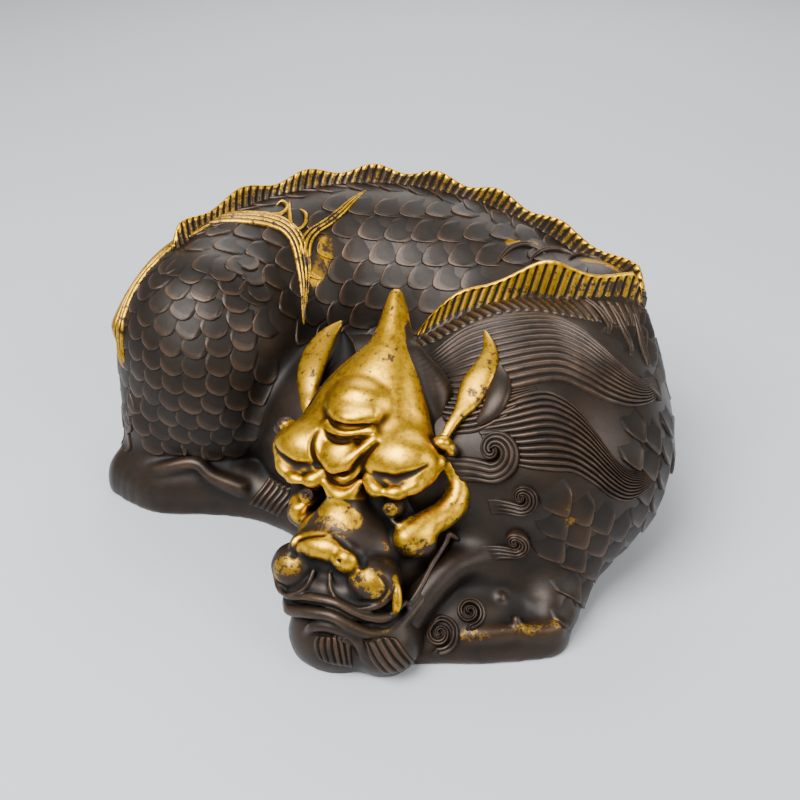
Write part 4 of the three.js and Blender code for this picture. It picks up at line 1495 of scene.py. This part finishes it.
class Hide:
    """The scales of the haunch, the flanks and the chest. Their free edges point to the tail."""

    haunch_scale = Scales(length=12.6, width=11.2, lift=0.7, pointed=-0.6)
    flank_scale = Scales(length=15.4, width=12.8, lift=0.5, pointed=0.5)
    chest_scale = Scales(length=15.0, width=12.6, lift=0.6, pointed=0.6)
    breast_scale = Scales(length=13.6, width=11.2, lift=0.95, pointed=0.85)
    to_viewer = np.array([0.0, -0.8387, 0.5446])
    viewer_up = np.array([0.0, 0.5446, 0.8387])
    viewer_right = np.array([1.0, 0.0, 0.0])
    haunch_rows: int = 15
    haunch_columns: int = 27

    def __init__(self, trunk: Trunk) -> None:
        """Takes the forms that the scales lie on."""
        self.trunk = trunk
        self.form = trunk.form

    def _kept(self, points: np.ndarray, ways: np.ndarray) -> tuple[np.ndarray, np.ndarray]:
        """Those of the places that are near the fused skin, moved onto it. Below the tail more are near.

        Args:
            points: The places.
            ways: The ways that their scales point.

        Returns:
            The places that are kept, and their ways.
        """
        reach = np.where((points[..., 0] < -66) & (points[..., 2] > 45), 6.0, 2.6)
        near = (np.abs(self.form.sample(points)) < reach) & (points[..., 2] > 5)
        return self.form.drape(points[near]), ways[near]

    def on_haunch(self) -> Sheet:
        """Rows at even steps down the haunch's ellipsoid, each half a scale further round than the last.

        A row has the widest row's number of scales times the sine of its polar angle to the power 0.8.

        Returns:
            The plates.
        """
        angles = [math.radians(13 + 8.4 * row) for row in range(self.haunch_rows)]
        counts = [round(self.haunch_columns * math.sin(angle) ** 0.8) for angle in angles]
        polar = np.repeat(angles, counts)
        shifted = [2 * math.pi * (np.arange(n) + 0.5 * (row % 2)) / n for row, n in enumerate(counts)]
        turn = np.concatenate(shifted)
        a, b, c = self.trunk.haunch.radii
        middle = np.array(self.trunk.haunch.centre)
        x, y = np.cos(turn), np.sin(turn)
        spot = np.stack([a * np.sin(polar) * x, b * np.sin(polar) * y, c * np.cos(polar)], -1)
        down = np.stack([a * np.cos(polar) * x, b * np.cos(polar) * y, -c * np.sin(polar)], -1)
        across = np.stack([-y, x, 0 * turn], -1)
        spots, ways = self._kept(middle + spot, unit(0.85 * unit(down) - 0.5 * across))
        self.haunch_spots = spots
        x, y, z = spots.T
        above_foot = (z > 29) | ((y > 8) & (z > 15)) | ((x < -88) & (z > 22))
        return self.haunch_scale.sheet(self.form, spots[above_foot], ways[above_foot])

    def on_outer_side(self) -> Sheet:
        """Rows at even angles round the curl, dropped inwards onto the flank, the shoulder and the chest.

        Returns:
            The plates.
        """
        rows, columns, first, start_out = 53, 12, 197.2, 26
        row, column = np.meshgrid(np.arange(rows), np.arange(columns), indexing="ij")
        angle = first - 5.6 * row
        start = self.trunk.body.skin(angle, -30 + 10.2 * (column + 0.5 * (row % 2)))
        a = np.radians(angle)
        out = np.stack([np.cos(a), np.sin(a), np.zeros(a.shape)], -1)
        tail = np.stack([-np.sin(a), np.cos(a), np.zeros(a.shape)], -1)
        spots, met = self.form.met(start + start_out * out, -out)
        chest = bump_between(20 - angle, 0, 50)[..., None]
        way = unit(tail + chest * np.array([0, 0, -0.7]))
        x, y, z = np.moveaxis(spots, -1, 0)
        plain = (z < 6) | ((z < 17) & (y < -55))
        foot = (x < -70) & (y < 8) & (z < 32)
        ahead = (self.form.facing(spots, 3.0) @ self.to_viewer > 0.36) & (y < -20)
        crowded = np.linalg.norm(spots[..., None, :] - self.haunch_spots, axis=-1).min(-1) < 8.5
        kept = met & ~plain & ~foot & ~ahead & ~crowded & ~self._under_locks(spots) & (angle > -92)
        grow = np.where(angle < 10, 1.0, 0.95)
        return self.chest_scale.sheet(self.form, spots[kept], way[kept], grow[kept])

    @staticmethod
    def _under_locks(spots: np.ndarray) -> np.ndarray:
        """Which places lie under the two broad locks of the mane.

        Args:
            spots: The places.

        Returns:
            True for each that is covered.
        """
        covered = np.zeros(spots.shape[:-1], bool)
        for lock in (Mane.high, Mane.low):
            for a, b in zip(*lock.lines(np.linspace(0, 1, 40))):
                covered |= np.linalg.norm(spots - (a + b) / 2, axis=-1) < np.linalg.norm(b - a) / 2 - 1.5
        return covered

    def _from_front(
        self,
        corner: tuple[float, float],
        tip: tuple[float, float],
        steps: tuple[float, float],
        counts: tuple[int, int],
    ) -> tuple[np.ndarray, np.ndarray, np.ndarray]:
        """An even lattice seen from the front and above, dropped onto the skin.

        Args:
            corner: Where the lattice begins, to the right and up.
            tip: The way that the scales point there.
            steps: The steps along that way and across it.
            counts: The numbers of rows and columns.

        Returns:
            The places, the ways that the scales point and which places met the skin.
        """
        aim, viewer_reach = np.array([0, 0, 38.0]), 110
        row, column = np.meshgrid(np.arange(counts[0]), np.arange(counts[1]), indexing="ij")
        along = np.array(tip) / math.hypot(*tip)
        side = np.array([-along[1], along[0]])
        flat = np.array(corner) + steps[0] * row[..., None] * along
        flat = flat + steps[1] * (column + 0.5 * (row % 2))[..., None] * side
        start = aim + flat[..., :1] * self.viewer_right + flat[..., 1:] * self.viewer_up
        start = start + viewer_reach * self.to_viewer
        spots, met = self.form.met(start, np.broadcast_to(-self.to_viewer, start.shape))
        way = along[0] * self.viewer_right + along[1] * self.viewer_up
        return spots, np.broadcast_to(way, start.shape), met

    def on_inner_flank(self) -> Sheet:
        """The lattice of the inner flank and the back, up to the dorsal crest.

        Returns:
            The plates.
        """
        spots, way, met = self._from_front((80, 117), (-0.92, -0.39), (8.6, 9.4), (20, 15))
        body = self.trunk.body
        near = np.abs(body.distance(spots.reshape(-1, 1, 1, 3).astype(np.float32), 0)).reshape(met.shape)
        x, y, z = np.moveaxis(spots, -1, 0)
        on_body = near < np.where(x > 20, 9.0, 2.0)
        angle = np.degrees(np.arctan2(y - body.centre[1], x - body.centre[0]))
        radius = np.hypot(y - body.centre[1], x - body.centre[0])
        crest_angles = np.linspace(0, body.crest_end, len(body.crest_radii))
        crest = np.interp(angle, crest_angles, body.crest_radii) - 4
        ahead = (y < 12) & (x > 0)
        kept = met & on_body & (radius < crest) & (angle > 14) & ~ahead & (z > 25)
        return self.flank_scale.sheet(self.form, spots[kept], way[kept])

    def on_chest(self) -> Sheet:
        """The lattice below the mane, from the curls along the jaw to the shoulder's outline.

        Returns:
            The plates.
        """
        spots, way, met = self._from_front((6.8, -7.3), (0.5, -0.86), (6.6, 9.4), (16, 10))
        x, y, z = np.moveaxis(spots, -1, 0)
        kept = met & (y < -18) & (z < np.where(x > 64, 71, 62)) & (z > 12)
        kept &= x > 41.5 + 2.0 * np.maximum(0, 17 - z)
        kept &= (self.form.facing(spots, 3.0) @ self.to_viewer > 0.32) & ~self._under_locks(spots)
        return self.breast_scale.sheet(self.form, spots[kept], way[kept])

    def build(self) -> None:
        """Makes the fields of scales."""
        sheet_piece("haunch_scales", [self.on_haunch()])
        sheet_piece("flank_scales", [self.on_inner_flank()])
        sheet_piece("back_scales", [self.on_outer_side()])
        sheet_piece("chest_scales", [self.on_chest()])


@dataclass
class Fin:
    """A thin fin whose top rises and falls in waves, with hatching cut in its sides.

    The section is a row of offsets: to the side, and up as a share of the height. The hatching repeats with
    the place along the fin plus the slant times the place up it, cut where the section's third number says.
    """

    section: tuple[tuple[float, float, float], ...]
    height: tuple[float, ...]
    waves: float
    pitch: float
    slant: float
    taper: float = 0.06
    swing: float = 0.2
    gilt: float = 0.52
    cut_depth: float = 0.8
    columns: int = 41

    def sheet(self, root: np.ndarray, up: np.ndarray) -> Sheet:
        """Carries the section along the root line.

        Args:
            root: Points at the fin's foot.
            up: The way that the fin stands at each.

        Returns:
            The fin's skin.
        """
        side = unit(np.cross(unit(np.gradient(root, axis=0)), up))
        t = np.linspace(0, 1, len(root))
        ends = np.clip(np.minimum(t, 1 - t) / self.taper, 0.2, 1) ** 0.5
        full = smooth_line(np.array(self.height), t)[:, :1]
        rise = full * (ends * (1 + self.swing * np.sin(2 * math.pi * self.waves * t)))[:, None]
        run = np.concatenate([[0], np.cumsum(np.linalg.norm(np.diff(root, axis=0), axis=1))])
        off, share, cut = smooth_line(np.array(self.section), np.linspace(0, 1, self.columns)).T
        phase = run[:, None] / self.pitch + self.slant * share[None]
        ridge = 1 - np.abs(2 * (phase % 1.0) - 1) ** 1.5
        depth = self.cut_depth * np.clip(cut, 0, 1)[None] * (ridge - 1)
        offset = off[None] + np.sign(off)[None] * depth
        offset[[0, -1]] = 0
        reach = np.where(share < 0, full, rise) * share
        points = root[:, None] + side[:, None] * offset[..., None] + up[:, None] * reach[..., None]
        # Painted shade dark in the hatching's cuts, with their ridges and the plain parts rubbed.
        wear_and_shade = np.where(cut[None] > 0.2, 1.6 * ridge - 1.0, 0.5)
        gilt = self.gilt * bump_between(share, -0.1, 0.25) + (1 - self.gilt) * bump_between(share, 0.8, 1.0)
        return Sheet(points[None], (gilt * np.ones_like(ridge))[None], wear_and_shade[None])


class Crests:
    """The dorsal crest, from behind the horn to the shoulder and from there along the back to the rump."""

    neck_line: Line = (
        (6, 4, 63), (19, 5, 70.5), (31, 6, 74), (45, 5.5, 76.5),
        (57, 3.5, 77), (70, 4, 76), (83.2, 7.5, 73.5),
    )
    neck_fin = Fin(
        section=(
            (4.6, -0.8, 0), (3.4, -0.1, 0), (2.5, 0.15, 1), (1.7, 0.5, 1), (1.0, 0.85, 1), (0.7, 1, 0.2),
            (0, 1.07, 0), (-0.7, 1, 0), (-1.4, 0.6, 0), (-2.6, 0.2, 0.5), (-4.0, -0.8, 0),
        ),
        height=(2.0, 6.0, 8.6, 10.2, 10.6, 10.6, 9.0),
        waves=2.2,
        pitch=3.1,
        slant=-1.0,
    )
    back_fin = Fin(
        section=(
            (4.2, -0.7, 0), (3.0, -0.1, 0), (2.2, 0.2, 1), (1.5, 0.6, 1), (0.9, 0.95, 0.6), (0, 1.06, 0),
            (-0.9, 0.95, 0.6), (-1.5, 0.6, 1), (-2.2, 0.2, 1), (-3.0, -0.1, 0), (-4.2, -0.7, 0),
        ),
        height=(5.6, 5.6),
        waves=7.5,
        pitch=3.0,
        slant=0.8,
        swing=0.26,
        taper=0.03,
        gilt=0.42,
    )

    def __init__(self, trunk: Trunk) -> None:
        """Takes the trunk that the crest stands on."""
        self.trunk = trunk

    def _back_line(self, count: int) -> tuple[np.ndarray, np.ndarray]:
        """The back crest's foot: where the crest's radius seen from above meets the body's skin.

        Args:
            count: How many points are wanted.

        Returns:
            The points, and the way that the crest stands at each.
        """
        body = self.trunk.body
        t = np.linspace(0, 1, count)
        angle = body.crest_end * t
        radius, _, wide, _ = body.section(angle)
        reach = smooth_line(np.array(body.crest_radii), t)[..., 0] - radius
        lean = np.degrees(np.arccos(np.clip(reach / wide, -1, 1)))
        root = body.skin(angle, lean)
        root[:, 2] += 7 * np.clip(1 - 7 * t, 0, 1)
        root[:, 0] += 3 * np.clip(1 - 9 * t, 0, 1)
        a, w = np.radians(angle), np.radians((lean + 90) / 2)
        return root, unit(np.stack([np.cos(a) * np.cos(w), np.sin(a) * np.cos(w), np.sin(w)], -1))

    def build(self) -> None:
        """Makes both stretches and the hatched band below the neck's."""
        line = smooth_line(np.array(self.neck_line), np.linspace(0, 1, 320))
        up = np.broadcast_to(unit(np.array([0, 0.08, 1.0])), line.shape)
        fins = [self.neck_fin.sheet(line, up), self.back_fin.sheet(*self._back_line(620))]
        foot = smooth_line(np.array(self.neck_line), np.linspace(0, 1, 9)) - np.array([0, 2.0, 0])
        below = foot - np.array([0, 11.0, 1.5])
        apron = Ribbon(
            (tuple(map(tuple, foot)), tuple(map(tuple, below))),
            Carving.HATCHED,
            strands=27,
            height=1.0,
            relief=1.0,
            slant=-1.8,
            gilt=0.32,
            rows=230,
            per_strand=1,
            fade=(0.03, 0.03),
        )
        sheet_piece("crests", [*fins, apron.sheet(self.trunk.form)])


class Mane:
    """Two broad locks that sweep back from behind the ear, curls along the jaw, and strokes of hair.

    The strokes are the tuft behind the horn, the hair at the hock and the ticks behind the crest.
    """

    high = Ribbon(
        (
            (
                (8, -14, 64), (22, -8, 70), (36, -8.5, 77), (49, -9, 78), (57, -14, 77.5),
                (64, -22, 75.5), (71, -29, 72), (78, -30, 67), (85, -20, 62), (90, -4, 57),
            ),
            (
                (11, -35, 64), (22, -42, 66.5), (33, -43.5, 69.5), (48, -42, 71), (56, -44, 69),
                (64, -46, 67), (72, -43, 63), (81, -33, 59), (88, -16, 56), (92, 0, 54),
            ),
        ),
        strands=12,
        height=1.8,
        relief=1.5,
        rows=150,
        fade=(0.14, 0.2),
    )
    low = Ribbon(
        (
            (
                (20, -46, 64), (32, -45, 67.5), (43, -44, 70), (49, -46, 69), (54, -50, 67),
                (59, -55, 63), (65, -59, 56), (71, -59, 51), (77, -54, 48), (83, -43, 47),
            ),
            (
                (28, -60, 55), (38, -63, 54), (46, -63, 53), (52, -64, 53), (58, -64, 49), (64, -64, 44),
                (70, -62, 41), (76, -58, 41), (81, -51, 42), (86, -40, 45),
            ),
        ),
        strands=12,
        height=1.8,
        relief=1.5,
        rows=140,
        fade=(0.16, 0.2),
    )
    curls = (
        Curl((28.5, -57, 56.5), 10.0, stem=1.5, strands=4, height=2.6),
        Curl((36, -68, 47), 6.2, stem=1.6, strands=4, height=2.2),
        Curl((35, -69, 31), 6.2, stem=1.5, strands=4, height=2.2),
        Curl((12, -86, 10), 6.8, turns=2.0, stem=0.1, strands=2, height=1.6),
        Curl((21, -82, 14.5), 5.6, turns=1.9, stem=0.1, strands=2, height=1.6),
    )
    nape = Ribbon(
        (
            ((9, -35, 62), (20, -41, 65.5), (31, -42.5, 68.5), (42, -42, 70)),
            ((16, -50, 57), (24, -52, 60), (33, -50, 64), (43, -46, 68.5)),
        ),
        strands=7,
        height=1.2,
        relief=1.2,
        rows=60,
    )
    fetlock = Ribbon(
        (
            ((-47, -15, 15), (-50, -18, 11.5), (-55, -20.5, 7)),
            ((-35, -22, 17), (-37, -25, 11), (-42, -27, 6)),
        ),
        strands=6,
        height=1.3,
        relief=1.0,
        rows=40,
    )
    marks = tuple(
        Ribbon(band(line, (0.5, -0.4, 0.8)), strands=2, height=1.2, relief=0.7, gilt=0.2, rows=36)
        for line in (
            ((62, 1, 78, 2), (66, -2, 74, 3), (68.5, -8, 71.5, 3.4), (68, -14, 71.5, 1.4)),
            ((70, 1, 75, 2), (72.5, -4, 71, 3), (75, -12, 68.5, 3.4), (75, -20, 67, 1.4)),
            ((78, 2, 72, 2), (80, -4, 68, 3), (81.5, -12, 64.5, 3.2), (82, -18, 62.5, 1.4)),
            ((34, 24, 80.5, 1), (40, 31, 83.5, 3), (47, 33, 83.5, 3), (53, 28, 82, 1)),
            ((46, 24, 80, 1), (51, 30, 82, 2.6), (58, 33, 82.5, 2.8), (64, 29, 81, 1)),
            ((60, 24, 80, 1), (65, 30, 81.5, 2.4), (70, 32, 83, 2.6), (74, 28, 82, 1)),
        )
    )

    def build(self, trunk: Trunk) -> None:
        """Lays the locks and curls on the neck."""
        parts = (self.high, self.low, *self.curls, self.nape, self.fetlock, *self.marks)
        sheet_piece("mane", [part.sheet(trunk.form) for part in parts])


class HipBand:
    """The gilt flame ribbon at the hip, its branch towards the back, and the tail's ribbed edge."""

    main = Ribbon(
        (
            (
                (-75, 45, 86), (-66, 43, 88), (-57, 41.5, 88.5), (-49, 41, 87.5), (-43, 39.5, 86),
                (-39.5, 35.5, 82), (-38, 30, 75), (-37, 25, 68), (-36, 18, 58),
            ),
            (
                (-73, 53, 86), (-64, 52, 89), (-55, 50.5, 89), (-47, 49.5, 88.5), (-40, 46, 87.5),
                (-35, 41, 84), (-32.5, 34, 77), (-32.5, 27, 69), (-34.5, 18, 58),
            ),
        ),
        strands=4,
        height=1.6,
        relief=1.1,
        gilt=0.66,
        rows=110,
    )
    branch = Ribbon(
        (
            (
                (-36.5, 30, 77), (-37, 38, 83), (-34, 43, 87), (-28, 49, 88.5), (-21, 57, 90),
                (-12, 68, 91.5),
            ),
            (
                (-31, 29, 72), (-31.5, 37, 81), (-29.5, 42, 85), (-24, 47, 87.5), (-18, 55, 90),
                (-11.5, 68, 91.5),
            ),
        ),
        strands=3,
        height=1.5,
        relief=0.9,
        gilt=0.66,
        rows=80,
    )
    hook = Ribbon(
        band(
            (
                (-49, 48, 89, 2), (-44.5, 49, 88.5, 2.2), (-42.4, 53.5, 88.5, 2.2), (-44.5, 57, 88.8, 2),
                (-47, 55.5, 89, 1),
            ),
            (0, 0, 1),
        ),
        strands=1,
        height=1.5,
        relief=0.5,
        gilt=0.85,
        rows=60,
    )
    loop = Ribbon(
        band(
            (
                (-42, 59, 89, 1), (-41.5, 51, 88.5, 2), (-40, 44, 87.4, 2), (-37, 42.5, 87, 2),
                (-35, 46, 87.4, 2), (-35.5, 51, 88, 1.8), (-38, 54, 88.5, 1),
            ),
            (0, 0, 1),
        ),
        strands=1,
        height=1.5,
        relief=0.5,
        gilt=0.85,
        rows=70,
    )
    tail = Ribbon(
        band(
            (
                (-70, 47, 86, 6), (-84, 32, 78, 8), (-92, 23, 70, 9), (-98, 16, 61, 9),
                (-100.5, 10, 53, 8), (-100, 5, 47, 5),
            ),
            (-0.7, -0.4, 0.6),
        ),
        strands=4,
        height=1.5,
        relief=0.9,
        gilt=0.75,
        rows=90,
    )

    def build(self, trunk: Trunk) -> None:
        """Lays the ribbons on the trunk."""
        parts = (self.main, self.branch, self.hook, self.loop, self.tail)
        sheet_piece("hip_band", [part.sheet(trunk.form) for part in parts])


@dataclass
class Leaf:
    """An ear: a cupped leaf carried along a line. A station is x, out, up, half the width and the depth."""

    stations: Stations
    cup: float = 0.0
    gilt: float = 0.8
    up: Place = (0.0, -1.0, 0.2)
    rows: int = 60
    columns: int = 49

    def sheet(self, head: Head) -> Sheet:
        """An ellipse round the line, its front half turned inwards to make the hollow.

        Args:
            head: What the ear grows from.

        Returns:
            The ear's skin, closed at both ends.
        """
        rings = smooth_line(np.array(head.face(self.stations), float), np.linspace(0, 1, self.rows))
        rings[[0, -1], 3:] = 0
        along = unit(np.gradient(rings[:, :3], axis=0))
        side = unit(np.cross(along, unit(np.array(self.up))))
        front = np.cross(side, along)
        turn = np.linspace(0, 2 * math.pi, self.columns)
        c, s = np.cos(turn), np.sin(turn)
        depth = np.where(s > 0, (0.8 - self.cup * 1.6 * s) * s + 0.25 * s * np.abs(c) ** 3, s)
        wide, deep = rings[:, 3:4], rings[:, 4:5]
        points = rings[:, None, :3] + side[:, None] * (wide * c)[..., None]
        points = points + front[:, None] * (deep * depth)[..., None]
        rim = np.abs(c) ** 6
        # Painted shade dark in the ear's hollow, and rubbing on its rim; less gold in the hollow.
        wear_and_shade = np.broadcast_to(rim * 0.7 - self.cup * np.maximum(s, 0), points.shape[:2])
        gilt = self.gilt * np.broadcast_to(np.clip(1 - 0.5 * self.cup * s, 0, 1), points.shape[:2])
        return Sheet(head.to_carver(points)[None], gilt[None], wear_and_shade[None])


class Ears:
    """The near ear with its dark back lobe, and the far one, a broader leaf."""

    near = Leaf(
        (
            (26.2, -2.5, 17.0, 1.5, 1.5),
            (27.8, -4, 21.4, 1.7, 1.7),
            (29.4, -6, 25.0, 2.2, 1.9),
            (30.8, -8.5, 28.8, 3.8, 2.4),
            (32.0, -11, 33.7, 4.7, 2.8),
            (33.4, -13.5, 38.6, 4.2, 2.8),
            (33.8, -16.5, 43.2, 3.0, 2.4),
            (32.6, -19, 47.4, 1.8, 1.7),
            (29.8, -22, 51.8, 0.5, 0.5),
        ),
        gilt=0.64,
    )
    lobe = Leaf(
        (
            (35.0, -18.4, 42.6, 0.5, 0.5),
            (37.6, -14.8, 38.8, 2.4, 2.0),
            (39.6, -11.6, 34.4, 3.6, 2.6),
            (39.6, -9.4, 29.8, 3.6, 2.8),
            (37.8, -8.2, 25.8, 2.8, 2.4),
            (34.8, -7.4, 22.4, 1.2, 1.2),
        ),
        gilt=0.0,
    )
    far = Leaf(
        (
            (-13.0, -14.0, 10.0, 2.0, 2.0),
            (-21.0, -12.6, 15.6, 2.4, 2.4),
            (-25.0, -13, 21.4, 2.6, 2.4),
            (-26.8, -15, 25.7, 3.2, 2.4),
            (-28.0, -17, 30.7, 4.3, 2.6),
            (-28.8, -20, 35.8, 4.9, 2.8),
            (-28.9, -24, 41.2, 4.6, 2.8),
            (-27.6, -28, 46.7, 3.0, 2.2),
            (-24.4, -31.5, 51.8, 0.6, 0.6),
        ),
        gilt=0.55,
    )
    conch = Leaf(
        (
            (-18.0, -16.5, 13.0, 2.0, 2.0),
            (-22.6, -18, 20.0, 2.6, 2.0),
            (-21.6, -21, 25.6, 4.4, 2.4),
            (-20.4, -24, 31.4, 5.6, 2.6),
            (-20.4, -27, 37.4, 5.4, 2.6),
            (-21.6, -29, 43.0, 3.8, 2.2),
            (-24.2, -31, 48.2, 1.0, 1.0),
        ),
        cup=0.9,
        gilt=0.0,
    )

    def build(self, head: Head) -> None:
        """Makes the ears."""
        sheet_piece("ears", [leaf.sheet(head) for leaf in (self.near, self.lobe, self.far, self.conch)])


class Beard:
    """Locks of hair that hang from the chin to the ground."""

    tufts = tuple(
        Ribbon(edges, strands=strands, height=1.6, relief=1.1, rows=50)
        for edges, strands in (
            (
                (
                    ((-1.5, -15, -44.5), (-2.0, -14.5, -47.5), (0.2, -13, -51.5)),
                    ((8.6, -16, -43.4), (9.6, -13.5, -47.5), (9.2, -9.5, -53.0)),
                ),
                6,
            ),
            (
                (
                    ((12.6, -13.5, -43.0), (14.6, -11, -47), (18.0, -7, -51.5)),
                    ((20.8, -9.0, -42.5), (22.8, -6.6, -46.0), (25.0, -3.0, -49.6)),
                ),
                5,
            ),
        )
    )

    def build(self, head: Head) -> None:
        """Lays the tufts on the chin."""
        sheets = [tuft.sheet(head.form) for tuft in self.tufts]
        for sheet in sheets:
            sheet.points = head.to_carver(sheet.points)
        sheet_piece("beard", sheets)


# Stage


class Stage:
    """A pale paper floor, soft studio light and the camera."""

    lamps = (
        ("key", (-0.35, -0.35, 0.75), 0.55, 16.0),
        ("fill", (0.75, -0.45, 0.55), 0.6, 6.0),
        ("back", (0.1, 0.8, 0.7), 0.8, 7.0),
    )
    aim = Vector((0, 0, 0.04))
    world_colour: str = "#ebe6df"
    world_strength: float = 0.52
    floor_reach: float = 3.0
    lens: float = 45.0
    camera_rise: float = 33.0
    camera_reach: float = 360.0
    camera_target: Place = (0.0, 0.0, 38.0)

    def build(self) -> None:
        """Makes the floor, the light and the camera."""
        r = self.floor_reach
        floor_mesh = bpy.data.meshes.new("floor")
        floor_mesh.from_pydata([(-r, -r, 0), (r, -r, 0), (r, r, 0), (-r, r, 0)], [], [(0, 1, 2, 3)])
        floor_mesh.materials.append(MattPaper().material())
        floor = bpy.data.objects.new("floor", floor_mesh)
        bpy.context.scene.collection.objects.link(floor)
        world = bpy.data.worlds.new("studio")
        world.use_nodes = True
        background = world.node_tree.nodes["Background"].inputs
        background["Color"].default_value = linear(self.world_colour)
        background["Strength"].default_value = self.world_strength
        bpy.context.scene.world = world
        for lamp in self.lamps:
            self._light(*lamp)
        self._camera()

    def _light(self, name: str, at: Place, size: float, power: float) -> None:
        """Adds a square soft box that faces the figure.

        Args:
            name: Its name.
            at: Where it stands, in metres.
            size: Its side, in metres.
            power: Its power, in watts.
        """
        data = bpy.data.lights.new(name, "AREA")
        data.size = size
        data.energy = power
        lamp = bpy.data.objects.new(name, data)
        lamp.location = at
        lamp.rotation_euler = (self.aim - Vector(at)).to_track_quat("-Z", "Y").to_euler()
        bpy.context.scene.collection.objects.link(lamp)

    def _camera(self) -> None:
        """Adds a camera above the table, at the rise of the photograph."""
        data = bpy.data.cameras.new("camera")
        data.lens = self.lens
        data.sensor_width = 36.0
        target = Vector(to_row(np.array(self.camera_target)))
        rise = math.radians(self.camera_rise)
        camera = bpy.data.objects.new("camera", data)
        camera.location = target + self.camera_reach * UNIT * Vector((0, -math.cos(rise), math.sin(rise)))
        camera.rotation_euler = (target - camera.location).to_track_quat("-Z", "Y").to_euler()
        bpy.context.scene.collection.objects.link(camera)
        bpy.context.scene.camera = camera


def main() -> None:
    """Builds the figure and its stage, in order, and writes how big the result is."""
    logging.basicConfig(level=logging.INFO, format="%(name)s %(message)s")
    trunk = Trunk()
    trunk.build()
    Hide(trunk).build()
    Crests(trunk).build()
    Mane().build(trunk)
    HipBand().build(trunk)
    head = Head()
    head.build(trunk)
    Ears().build(head)
    Beard().build(head)
    Stage().build()
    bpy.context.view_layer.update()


if __name__ == "__main__":
    main()
